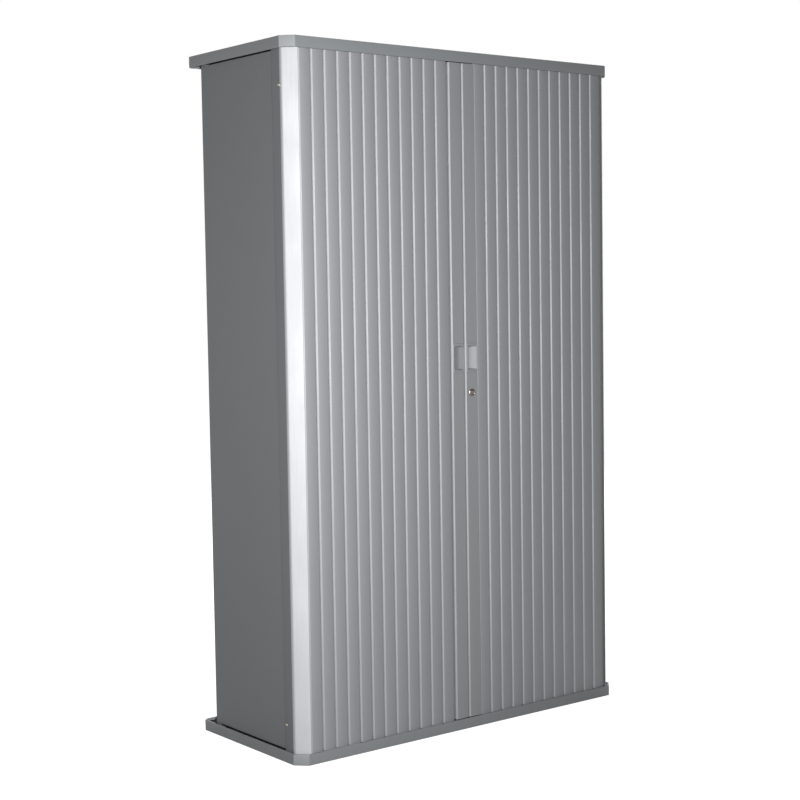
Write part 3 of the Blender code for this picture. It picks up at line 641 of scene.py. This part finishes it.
@dataclass
class Posts:
    """Front corner posts: a bright bevelled cover over the corner and a coated side flange."""

    wall: float = 0.0022
    leg: float = 0.032
    lip_round: float = 0.0006
    front_round: float = 0.0010
    side_round: float = 0.0058

    def _cover(self, node: str) -> NDArray:
        """Plan outline of the cover: lip, bevel and a round turn into the flange.

        The inner path runs one wall further in, so its corners lie tan(22.5 degrees) walls
        further along.

        Args:
            node: the post that it stands for.

        Returns:
            X and Y of each point, on the positive side.
        """
        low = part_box(node)[0]
        lip, far = distances(node)
        split = low.y + self.leg + self.side_round
        inset = self.wall
        shift = inset * math.tan(math.radians(22.5))
        outline = [
            (lip, low.y),
            (far - self.leg, low.y),
            (far, low.y + self.leg),
            (far, split),
            (far - inset, split),
            (far - inset, low.y + self.leg + shift),
            (far - self.leg - shift, low.y + inset),
            (lip, low.y + inset),
        ]
        front, side = self.front_round, self.side_round
        cuts = (self.lip_round, front, side - GAP, 0, 0, side - shift - GAP, 0, self.lip_round)
        return rounded(np.array(outline), np.array(cuts), 8)

    def _flange(self, node: str) -> NDArray:
        """Plan outline of the side flange, with its rear edge rounded.

        Args:
            node: the post that it is a part of.

        Returns:
            X and Y of each point, on the positive side.
        """
        low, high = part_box(node)
        far = distances(node)[1]
        start = low.y + self.leg + self.side_round + SEAT_GAP
        corners = [(far - self.wall, start), (far, start), (far, high.y), (far - self.wall, high.y)]
        return rounded(np.array(corners), np.array([0, 0, self.lip_round, self.lip_round]), 3)

    def build(self) -> None:
        """Build the cover and the flange of both posts."""
        for side in Side:
            node = f"{side.door}_front_post"
            low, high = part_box(node)
            cover = Shell.extruded(self._cover(node) * (side.value, 1), low.z, high.z)
            flange = Shell.extruded(self._flange(node) * (side.value, 1), low.z, high.z)
            Piece(
                f"{node}_cover", [cover], ANODISED, slot="post_aluminium", stands_for=(node,)
            ).build()
            Piece(f"{node}_flange", [flange], SIDE_COAT, slot="side_paint").build()


@dataclass
class SidePanels:
    """Side panels: a sheet with folded front edges that bends round the rear corner."""

    sheet: float = 0.0012
    leg: float = 0.030
    fold: float = 0.006
    bend: float = 0.0024
    fold_share: float = 0.6
    top_margin: float = 0.0022

    def _path(self, node: str, inset: float) -> NDArray:
        """Plan path of one skin, from the back flange's end to the front fold's.

        Args:
            node: the panel that it stands for.
            inset: how far the skin lies inside the outer one.

        Returns:
            X and Y of each point, on the positive side.
        """
        low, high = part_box(node)
        end, far = distances(node)
        corner = inset * (math.sqrt(2) - 1)
        path = np.array(
            [
                (end, high.y - inset),
                (far - self.leg - corner, high.y - inset),
                (far - inset, high.y - self.leg - corner),
                (far - inset, low.y + inset),
                (far - self.fold, low.y + inset),
            ]
        )
        bend = self.bend - inset
        return rounded(path, np.array([0, bend, bend, bend * self.fold_share, 0]))

    def build(self) -> None:
        """Build both panels and dress the posts that line their rear corners."""
        for side in Side:
            node = f"{side.door}_side_panel"
            low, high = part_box(node)
            outline = np.vstack([self._path(node, 0), self._path(node, self.sheet)[::-1]])
            shell = Shell.extruded(outline * (side.value, 1), low.z, high.z + self.top_margin)
            Piece(
                f"{node}_sheet", [shell], SIDE_COAT, slot="side_paint", stands_for=(node,)
            ).build()
            dress(SIDE_COAT, f"{side.door}_rear_post")


@dataclass
class GrooveShadeStrips:
    """Black strips in the grooves between the side panels and the rims' raised edges: painted shade
    that stands in for the shadow in these gaps.
    """

    clearance: float = 0.0006
    start: float = 0.045
    reach: float = 0.060
    height: float = 0.004

    def _outline(self, node: str) -> NDArray:
        """Plan outline of a strip: along the rim, and back along the panel.

        Args:
            node: the side panel that it lies along.

        Returns:
            X and Y of each point, on the positive side.
        """
        rims, panel = Rims(), SidePanels()
        inset = rims.edge_width + GAP
        corner = np.array(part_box("base_frame")[1][:2]) - inset
        leg = rims.rear_leg - inset * (2 - math.sqrt(2))
        curve = (corner - corner_curve(leg, 1.0))[::-1]
        low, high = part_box(node)
        far = distances(node)[1] + self.clearance
        rear = high.y + self.clearance
        front = low.y + self.start
        end = far - self.reach
        cut = panel.leg
        along = [(corner[0], front)]
        back = [(end, corner[1]), (end, rear), (far - cut, rear), (far, rear - cut), (far, front)]
        return np.vstack([along, curve, back])

    def build(self) -> None:
        """Build the strips in the base rim and in the top rim."""
        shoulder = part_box("base_panel")[1].z
        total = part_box("top_frame")[1].z
        low = shoulder + GAP
        high = low + self.height
        for side in Side:
            plan = self._outline(f"{side.door}_side_panel") * (side.value, 1)
            base = Shell.extruded(plan, low, high)
            top = Shell.extruded(plan, total - high, total - low)
            # Painted shade: black strips stand in for the shadow in the grooves of both rims
            Piece(f"{side.door}_base_groove_foam", [base], GROOVE_SHADE).build()
            Piece(f"{side.door}_top_groove_foam", [top], GROOVE_SHADE).build()


@dataclass
class Screws:
    """Pan-head screws on the side flanges and along the back."""

    radius: float = 0.0042
    height: float = 0.0028
    upper_reach: float = 0.0405
    upper_distance: float = 0.108
    lower_reach: float = 0.0090
    lower_distance: float = 0.083
    back_reach: float = 0.011
    back_distance: float = 0.022
    back_count: int = 5
    recess_width: float = 0.0009
    recess_depth: float = 0.0009
    recess_share: float = 0.55
    dome_share: float = 0.9
    pole_share: float = 0.06
    rows: int = 9
    columns: int = 32

    def _head(self, place: NDArray, out: NDArray) -> Shell:
        """One head: a dome with a cross recess.

        At radius r and angle t, the height is h sqrt(1 - d (r / R)^2), where d is the dome
        share, less the recess depth where the point lies in one of the two crossed slots and
        within the recess share of R.

        Args:
            place: centre of the head's seat.
            out: unit vector out of the seat, along X or Y.

        Returns:
            The head, closed below.
        """
        share = np.linspace(1, self.pole_share, self.rows)[:, None]
        angle = np.linspace(0, 2 * np.pi, self.columns, endpoint=False)[None]
        u = self.radius * share * np.cos(angle)
        v = self.radius * share * np.sin(angle)
        rise = self.height * np.sqrt(1 - self.dome_share * share**2) * np.ones_like(u)
        narrow = np.minimum(abs(u), abs(v)) < self.recess_width / 2
        rise = rise - self.recess_depth * (narrow & (share < self.recess_share))
        seat = np.zeros_like(rise[:1])
        u, v = np.vstack([u[:1], u]), np.vstack([v[:1], v])
        rise = np.vstack([seat, rise])
        aside = np.array([out[1], out[0], 0])
        rings = place + rise[..., None] * out + u[..., None] * aside
        rings = rings + v[..., None] * np.array([0, 0, 1])
        return Shell.from_rings(rings)

    def build(self) -> None:
        """Build the screws of each side, and those of the back."""
        back_heads = []
        for side in Side:
            post, panel = f"{side.door}_front_post", f"{side.door}_side_panel"
            low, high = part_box(post)
            x = side.value * (distances(post)[1] + SEAT_GAP)
            top = np.array([x, low.y + self.upper_reach, high.z - self.upper_distance])
            base = np.array([x, high.y - self.lower_reach, low.z + self.lower_distance])
            heads = [self._head(place, np.array([side.value, 0, 0])) for place in (top, base)]
            Piece(f"{side.door}_side_screws", heads, YELLOW_ZINC).build()
            low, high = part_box(panel)
            x = side.value * (distances(panel)[0] + self.back_reach)
            span = (low.z + self.back_distance, high.z - self.back_distance)
            for z in np.linspace(*span, self.back_count):
                place = np.array([x, high.y + SEAT_GAP, z])
                back_heads.append(self._head(place, np.array([0, 1, 0])))
        Piece("back_screws", back_heads, ZINC).build()


# Doors


@dataclass
class Curtain:
    """The slats of one door, each an extrusion that clips round its neighbour."""

    side: Side
    count: int = 12
    outer_stop: float = 0.5625
    travel: float = 0.500
    # Share of its room behind the post that a gathered slat fills
    fill: float = 0.8
    stile_edge: float = 0.0490
    front_inset: float = 0.0085
    thickness: float = 0.009
    skin: float = 0.0022
    bevel: float = 0.0028
    land: float = 0.0011
    crown: float = 0.0012
    bevel_round: float = 0.0007
    edge_round: float = 0.0006
    tail: float = 0.004
    bead: float = 0.0015
    neck: float = 0.0012
    socket_wall: float = 0.0012
    socket_setback: float = 0.0004
    runner_height: float = 0.008
    pin_width: float = 0.010
    pin_thickness: float = 0.004
    running_gap: float = 0.0010
    next_width: float = 0.0088
    next_depth: float = 0.0022
    next_turn: float = 0.0024
    next_thickness: float = 0.0010

    def _arc(self, centre: tuple[float, float], radius: float, turn: float) -> NDArray:
        """Draw an arc: at angle t, the distance is radius cos t and the depth -radius sin t.

        Args:
            centre: distance and depth of its centre.
            radius: its radius.
            turn: angle of its start, whose opposite is that of its end.

        Returns:
            Array of point and (distance, depth).
        """
        angle = np.linspace(turn, -turn, CURVE_POINTS)
        along = centre[0] + radius * np.cos(angle)
        return np.column_stack([along, centre[1] - radius * np.sin(angle)])

    def profile(self, width: float) -> NDArray:
        """Section of a slat, as distance from its inner edge and depth behind its face.

        Args:
            width: the slat's width, without its bead.

        Returns:
            The closed outline: face, two bevels, bead, channel and socket. Across the face, for
            u from -1 to 1, the depth is the crown times u squared.
        """
        hole = self.bead + GAP
        reach = hole + self.socket_wall
        deep = self.thickness - reach - self.socket_setback
        bead_turn = math.pi - math.asin(self.neck / 2 / self.bead)
        mouth = self.neck + 2 * GAP
        socket_turn = math.pi - math.asin(mouth / 2 / hole)
        bead = self._arc((width + GAP + reach, deep), self.bead, bead_turn)
        socket = self._arc((reach, deep), hole, -socket_turn)
        u = np.linspace(-1, 1, CURVE_POINTS)
        half = width / 2 - self.bevel - self.land
        front = np.column_stack([width / 2 + half * u, self.crown * u**2])
        edge = self.crown + self.bevel
        neck = [(width - self.land, edge), (width, edge), (width, deep - self.neck / 2)]
        back = [
            (width, deep + self.neck / 2),
            (width, self.thickness),
            (width - self.tail, self.thickness),
            (width - self.tail, self.skin),
            (2 * reach, self.skin),
            (2 * reach, self.thickness),
            (0, self.thickness),
            (0, deep + mouth / 2),
        ]
        last = [(0, deep - mouth / 2), (0, edge), (self.land, edge)]
        outline = np.vstack([front, neck, bead, back, socket, last])
        cuts = np.zeros(len(outline))
        cuts[[0, len(u) - 1]] = self.bevel_round
        cuts[[len(u) + 1, -2]] = self.edge_round
        return rounded(outline, cuts)

    def _next_edge(self, width: float) -> NDArray:
        """Section of the first edge of the slat behind the post, which starts to turn away.

        Args:
            width: width of the slat before it.

        Returns:
            The closed outline, as the slat's own section.
        """
        start, end = width + GAP, width + self.next_width
        near, far, thick = self.next_depth, self.next_depth + self.next_turn, self.next_thickness
        return np.array([(start, near), (end, far), (end, far + thick), (start, near + thick)])

    def _upright(self, edge: float, outline: NDArray) -> Shell:
        """Raise a section between the tracks.

        Args:
            edge: distance of the slat's inner edge from the cabinet's middle.
            outline: the section, as distance from that edge and depth behind the face.

        Returns:
            The closed shell.
        """
        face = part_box("base_frame")[0].y + self.front_inset
        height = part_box("top_frame")[1].z
        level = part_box(f"{self.side.door}_lower_track")[1].z + self.running_gap
        x = self.side.value * (edge + outline[:, 0])
        return Shell.extruded(np.column_stack([x, face + outline[:, 1]]), level, height - level)

    def _runners(self, node: str, middle: float) -> list[Shell]:
        """Make the pins that ride in the lower and the upper track.

        Args:
            node: the slat that they are part of.
            middle: X of the slat's middle.

        Returns:
            One block for each end.
        """
        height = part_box("top_frame")[1].z
        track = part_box("base_frame")[0].y + self.front_inset + self.thickness / 2
        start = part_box(node)[0].z
        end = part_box(f"{self.side.door}_lower_track")[1].z + self.running_gap + self.runner_height
        x, y = self.pin_width / 2, self.pin_thickness / 2
        return [
            Shell.block((middle - x, track - y, bottom), (middle + x, track + y, top))
            for bottom, top in ((start, end), (height - end, height - start))
        ]

    def _gather(self, piece: bpy.types.Object) -> None:
        """Give a piece that rides on a slat its own copy of its mesh.

        Args:
            piece: the piece that rides on a slat.
        """
        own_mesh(piece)

    def build(self) -> None:
        """Build the slats, and the edge of the next one by the corner post."""
        nodes = [f"{self.side.door}_slat_{number:02d}" for number in range(1, self.count + 1)]
        edges = [distances(node)[0] for node in nodes]
        width = edges[1] - edges[0] - GAP
        for node, edge in zip(nodes, edges):
            slat = Piece(
                f"{node}_extrusion",
                [
                    self._upright(edge, self.profile(width)),
                    *self._runners(node, self.side.value * (edge + width / 2)),
                ],
                SLAT_COAT,
                body=node,
                slot="slat_plastic",
                stands_for=(node,),
            ).build()
            self._gather(slat)
        next_edge = Piece(
            f"{self.side.door}_next_slat_edge",
            [self._upright(edges[-1], self._next_edge(width))],
            SLAT_COAT,
            body=nodes[-1],
        ).build()
        self._gather(next_edge)


@dataclass
class Stile:
    """A leading stile with its handle cup."""

    side: Side
    width: float = 0.0482
    bevel: float = 0.0038
    edge_round: float = 0.0010
    back_share: float = 0.6
    end_gap: float = 0.0020
    meeting: float = 0.0008
    handle_height: float = 1.081
    lock_height: float = 0.980
    cup_width: float = 0.0370
    cup_height: float = 0.082
    cup_depth: float = 0.0110
    cup_corner: float = 0.004
    flange: float = 0.0018
    flange_proud: float = 0.0020
    flange_bevel: float = 0.0016
    mouth_width: float = 0.0335
    mouth_height: float = 0.068
    lip: float = 0.0008
    scoop: float = 0.0080
    slope: float = 0.0215
    grip_slope: float = 0.0022
    end_slope: float = 0.003
    floor_round: float = 0.12
    lock_bore: float = 0.0088

    @property
    def body(self) -> str:
        """Name of the door that carries this stile."""
        return f"{self.side.door}_door"

    @property
    def centre(self) -> float:
        """Distance of the stile's middle from the cabinet's middle."""
        return self.meeting + self.width / 2

    def _ring(
        self, insets: tuple[float, float, float], size: tuple[float, float], y: float, corner: float
    ) -> NDArray:
        """Ring of a round-cornered rectangle, upright at depth y.

        Args:
            insets: how far it is drawn in at the meeting side, the outer side and both ends.
            size: width and height before that.
            y: its depth.
            corner: its corner radius.

        Returns:
            Array of point and coordinate: each corner's arc has X = c cos t and Z = c sin t
            about the corner's centre.
        """
        x0 = self.centre - size[0] / 2 + insets[0] + corner
        x1 = self.centre + size[0] / 2 - insets[1] - corner
        z0 = self.handle_height - size[1] / 2 + insets[2] + corner
        z1 = self.handle_height + size[1] / 2 - insets[2] - corner
        centres = np.array([(x1, z1), (x0, z1), (x0, z0), (x1, z0)])[:, None]
        first = np.radians([0, 90, 180, 270])[:, None]
        angle = first + np.radians(np.linspace(0, 90, 9))[None]
        arc = corner * np.stack([np.cos(angle), np.sin(angle)], axis=-1)
        flat = (centres + arc).reshape(-1, 2)
        x = self.side.value * flat[:, 0]
        return np.column_stack([x, np.full(len(flat), y), flat[:, 1]])

    def _cup(self, face: float) -> Shell:
        """Cup: a flange with a rounded rim, and a scoop whose wall by the meeting edge is steep.

        From the mouth to the floor, for s from 0 to 1, each wall is drawn in by s times its
        slope, and the depth is the scoop's depth times (1 + r) s - r s^4, where r is the share
        by which the floor's edge is rounded out.

        Args:
            face: Y of the stile's face.

        Returns:
            The closed shell.
        """
        even = (0.0, 0.0, 0.0)
        full = (self.cup_width, self.cup_height)
        mouth = (self.mouth_width, self.mouth_height)
        seat = face - GAP
        proud = face - self.flange_proud
        rings = [
            self._ring(even, full, face + self.cup_depth, self.cup_corner),
            self._ring(even, full, seat, self.cup_corner),
        ]
        for angle in np.radians(np.linspace(0, 90, 5)):
            grown = self.flange - self.flange_bevel * (1 - math.cos(angle))
            depth = seat + (proud - seat) * math.sin(angle)
            rings.append(self._ring((-grown,) * 3, full, depth, self.cup_corner + grown))
        for angle in np.radians(np.linspace(0, 90, 5)):
            grown = self.lip * (1 - math.sin(angle))
            depth = proud + self.lip * (1 - math.cos(angle))
            rings.append(self._ring((-grown,) * 3, mouth, depth, self.cup_corner + grown))
        depth_span = self.scoop + self.flange_proud - self.lip
        for s in np.linspace(0, 1, CURVE_POINTS)[1:]:
            insets = (self.grip_slope * s, self.slope * s, self.end_slope * s)
            share = (1 + self.floor_round) * s - self.floor_round * s**4
            depth = proud + self.lip + depth_span * share
            rings.append(self._ring(insets, mouth, depth, self.cup_corner))
        return Shell.from_rings(np.array(rings))

    def build(self) -> None:
        """Build the stile's bar with its cut-outs, and its handle cup."""
        node = f"{self.side.door}_stile"
        face, back = (corner.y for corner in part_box(node))
        depth = back - face
        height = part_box("top_frame")[1].z
        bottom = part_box("base_frame")[1].z + self.end_gap
        outline = np.array(
            [
                (self.bevel, 0),
                (self.width - self.bevel, 0),
                (self.width, self.bevel),
                (self.width, depth),
                (0, depth),
                (0, self.bevel),
            ]
        )
        rounds = np.array([1, 1, 1, self.back_share, self.back_share, 1])
        outline = rounded(outline, rounds * self.edge_round)
        x = self.side.value * (self.meeting + outline[:, 0])
        plan = np.column_stack([x, face + outline[:, 1]])
        shells = [Shell.extruded(plan, bottom, height - bottom)]
        half = (self.cup_width / 2 + GAP, self.cup_height / 2 + GAP)
        middle = self.side.value * self.centre
        cutters = [
            Shell.block(
                (middle - half[0], face - OVERRUN, self.handle_height - half[1]),
                (middle + half[0], face + self.cup_depth + GAP, self.handle_height + half[1]),
            )
        ]
        if self.side is Side.RIGHT:
            span = np.array([(self.lock_bore, face - OVERRUN), (self.lock_bore, back + OVERRUN)])
            cutters.append(lathe(span, middle, self.lock_height, endless=False))
        Piece(
            f"{node}_bar",
            shells,
            STILE_COAT,
            body=self.body,
            slot="stile_aluminium",
            stands_for=(node,),
            cutters=cutters,
        ).build()
        cup = f"{self.side.door}_handle_cup"
        Piece(
            f"{cup}_scoop",
            [self._cup(face)],
            MOULDED_CUP,
            body=self.body,
            slot="cup_plastic",
            stands_for=(cup,),
            sharp=ROUND_SHARP_DEGREES,
        ).build()


@dataclass
class Lock:
    """The lock's turned housing, and the finishes of its inner parts.

    From the bore outwards, for s from 0 to 1, the housing's face falls back by s squared times
    the height at which it stands out of the stile.
    """

    bore_round: float = 0.0003
    collar: float = 0.0015
    bore: float = 0.0063
    barrel: float = 0.0085

    def build(self) -> None:
        """Build the housing and dress the plug, cam and keeper."""
        low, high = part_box("lock_housing")
        x, z = (low.x + high.x) / 2, (low.z + high.z) / 2
        radius = (high.x - low.x) / 2
        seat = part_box("right_stile")[0].y - GAP
        share = np.linspace(0, 1, 10)
        across = self.bore + (radius - self.bore) * share
        top = low.y - self.collar
        dome = np.column_stack([across, top + (seat - top - GAP) * share**2])
        barrel = [(radius, seat), (self.barrel, seat), (self.barrel, high.y), (self.bore, high.y)]
        outline = np.vstack([dome, barrel])
        cuts = np.zeros(len(outline))
        cuts[0] = self.bore_round
        Piece(
            "lock_housing_ring",
            [lathe(rounded(outline, cuts, 6), x, z)],
            NICKEL,
            body="right_door",
            slot="lock_nickel",
            stands_for=("lock_housing",),
            sharp=ROUND_SHARP_DEGREES,
        ).build()
        dress(DARK_NICKEL, "lock_plug")
        dress(ZINC, "lock_cam", "lock_keeper")


# Studio


@dataclass(frozen=True)
class Lamp:
    """A square lamp, with the full angle of its beam in degrees and its power in watts."""

    name: str
    place: tuple[float, float, float]
    target: tuple[float, float, float]
    size: float
    power: float
    spread: float = 180.0

    def build(self) -> None:
        """Hang the lamp in its place and turn it to its target."""
        data = bpy.data.lights.new(self.name, "AREA")
        data.size = self.size
        data.spread = math.radians(self.spread)
        data.energy = self.power
        lamp = bpy.data.objects.new(self.name, data)
        bpy.context.scene.collection.objects.link(lamp)
        back = np.subtract(self.place, self.target)
        back = back / np.linalg.norm(back)
        across = np.cross([0, 0, 1.0], back)
        across = across / np.linalg.norm(across)
        turned = np.eye(4)
        turned[:3, :3] = np.column_stack([across, np.cross(back, across), back])
        turned[:3, 3] = self.place
        lamp.matrix_world = Matrix(turned.tolist())


# The photograph's lamp stands by the camera and is turned to the cabinet's left
CAMERA_LAMP = Lamp(
    "camera_lamp",
    place=(-2.75, -4.05, 1.50),
    target=(-1.17, 0.0, 1.275),
    size=0.35,
    power=63,
    spread=75,
)
REAR_SOFTBOX = Lamp(
    "rear_softbox", place=(3.6, 3.6, 3.5), target=(0.0, 0.0, 1.0), size=2.4, power=360
)


@dataclass
class Studio:
    """Floor, lights, background and camera."""

    camera_place: tuple[float, float, float] = (-2.9616, -3.7679, 1.2870)
    azimuth: float = 37.741
    pitch: float = -4.039
    roll: float = -0.909
    lens: float = 72.04
    sensor: float = 36.0
    sight: float = 100.0
    ambient: float = 0.075
    near_glow: float = 0.135
    room_span: float = 0.8
    floor_span: float = 1.5
    floor_far_glow: float = 0.75
    floor_glow: float = 0.93
    floor_fade: tuple[float, float] = (1.0, 5.0)
    floor_grey: float = 0.4
    floor_size: float = 60.0

    def _camera(self) -> None:
        """Place the camera where the photograph was taken from."""
        azimuth, pitch, roll = (math.radians(a) for a in (self.azimuth, self.pitch, self.roll))
        ahead = np.array(
            [
                math.sin(azimuth) * math.cos(pitch),
                math.cos(azimuth) * math.cos(pitch),
                math.sin(pitch),
            ]
        )
        level = np.array([math.cos(azimuth), -math.sin(azimuth), 0])
        up = np.cross(level, ahead)
        across = math.cos(roll) * level + math.sin(roll) * up
        upward = -math.sin(roll) * level + math.cos(roll) * up
        data = bpy.data.cameras.new("camera")
        data.lens = self.lens
        data.sensor_width = self.sensor
        data.clip_end = self.sight
        camera = bpy.data.objects.new("camera", data)
        bpy.context.scene.collection.objects.link(camera)
        turned = np.eye(4)
        turned[:3, :3] = np.column_stack([across, upward, -ahead])
        turned[:3, 3] = self.camera_place
        camera.matrix_world = Matrix(turned.tolist())
        bpy.context.scene.camera = camera

    def _shown(
        self,
        tree: bpy.types.NodeTree,
        place: bpy.types.NodeSocket,
        unseen: float,
        span: float,
        far_glow: float = 1.0,
    ) -> bpy.types.NodeSocket:
        """Strength of a white surface for each kind of ray.

        Args:
            tree: the node tree of the surface.
            place: the surface's coordinates.
            unseen: strength for the rays that only light.
            span: distance beyond the middle at which reflections have changed from dim to bright.
            far_glow: strength in reflections on the far side.

        Returns:
            1 for the camera; in reflections and through glass, bright on the far side of the
            cabinet and dim on the camera's side; the unseen strength for all other rays.
        """
        angle = math.radians(self.azimuth)
        ahead = add_node(
            tree,
            "ShaderNodeVectorMath",
            {0: place, 1: (math.sin(angle), math.cos(angle), 0.0)},
            operation="DOT_PRODUCT",
        )
        white = add_node(
            tree,
            "ShaderNodeMapRange",
            {
                "Value": ahead.outputs["Value"],
                "From Min": span / 4,
                "From Max": span,
                "To Min": self.near_glow,
                "To Max": far_glow,
            },
            interpolation_type="SMOOTHSTEP",
        )
        path = add_node(tree, "ShaderNodeLightPath", {}).outputs
        bent = add_node(
            tree,
            "ShaderNodeMath",
            {0: path["Is Glossy Ray"], 1: path["Is Transmission Ray"]},
            operation="MAXIMUM",
        )
        mirrored = add_node(
            tree,
            "ShaderNodeMix",
            {0: bent.outputs[0], 2: unseen, 3: white.outputs["Result"]},
        )
        shown = add_node(
            tree,
            "ShaderNodeMix",
            {0: path["Is Camera Ray"], 2: mirrored.outputs[0], 3: 1.0},
        )
        return shown.outputs[0]

    def _world(self) -> None:
        """Light the room evenly and weakly, and show it white where it is seen."""
        world = bpy.data.worlds.new("studio")
        bpy.context.scene.world = world
        world.use_nodes = True
        tree = world.node_tree
        tree.nodes.clear()
        way = add_node(tree, "ShaderNodeTexCoord", {}).outputs["Generated"]
        strength = self._shown(tree, way, self.ambient, self.room_span)
        light = add_node(
            tree,
            "ShaderNodeBackground",
            {"Color": (1.0, 1.0, 1.0, 1.0), "Strength": strength},
        )
        add_node(tree, "ShaderNodeOutputWorld", {"Surface": light.outputs[0]})

    def _floor(self) -> None:
        """Lay a pale floor that keeps the cabinet's shadow and is white further out."""
        half = self.floor_size / 2
        mesh = bpy.data.meshes.new("floor")
        corners = [(-half, -half, 0), (half, -half, 0), (half, half, 0), (-half, half, 0)]
        mesh.from_pydata(corners, [], [(0, 1, 2, 3)])
        floor = bpy.data.objects.new("floor", mesh)
        bpy.context.scene.collection.objects.link(floor)
        material = bpy.data.materials.new("studio_floor")
        material.use_nodes = True
        tree = material.node_tree
        tree.nodes.clear()
        place = add_node(tree, "ShaderNodeTexCoord", {}).outputs["Object"]
        shown = self._shown(tree, place, 0.0, self.floor_span, self.floor_far_glow)
        away = add_node(tree, "ShaderNodeVectorMath", {0: place}, operation="LENGTH")
        level = add_node(
            tree,
            "ShaderNodeMapRange",
            {
                "Value": away.outputs["Value"],
                "From Min": self.floor_fade[0],
                "From Max": self.floor_fade[1],
                "To Min": self.floor_glow,
            },
        )
        glow = add_node(
            tree, "ShaderNodeMath", {0: shown, 1: level.outputs["Result"]}, operation="MULTIPLY"
        )
        shine = add_node(
            tree, "ShaderNodeEmission", {"Color": (1, 1, 1, 1), "Strength": glow.outputs[0]}
        )
        grey = (self.floor_grey,) * 3
        matt = add_node(tree, "ShaderNodeBsdfDiffuse", {"Color": (*grey, 1)})
        both = add_node(
            tree, "ShaderNodeAddShader", {0: shine.outputs[0], 1: matt.outputs[0]}
        )
        add_node(tree, "ShaderNodeOutputMaterial", {"Surface": both.outputs[0]})
        mesh.materials.append(material)

    def build(self) -> None:
        """Set up the room, the floor, the lamps and the camera."""
        self._world()
        self._floor()
        CAMERA_LAMP.build()
        REAR_SOFTBOX.build()
        self._camera()
        bpy.context.scene.view_settings.view_transform = "Standard"


def main() -> None:
    """Build the cabinet's looks in order."""
    logging.basicConfig(level=logging.INFO)
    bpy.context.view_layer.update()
    Rims().build()
    Posts().build()
    SidePanels().build()
    # Black strips painted in as the shadow in the rims' grooves
    GrooveShadeStrips().build()
    Screws().build()
    for side in Side:
        Curtain(side).build()
        Stile(side).build()
        dress(NYLON, f"{side.door}_lower_track", f"{side.door}_upper_track")
        dress(INSIDE_COAT, f"{side.door}_inner_liner")
        dress(INSIDE_COAT, f"{side.door}_front_upright", f"{side.door}_rear_upright")
    Lock().build()
    dress(MELAMINE, "base_panel", "top_panel")
    dress(SIDE_COAT, "back_panel")
    dress(INSIDE_COAT, *[f"shelf_{number}" for number in range(1, SHELF_COUNT + 1)])
    Studio().build()


if __name__ == "__main__":
    main()
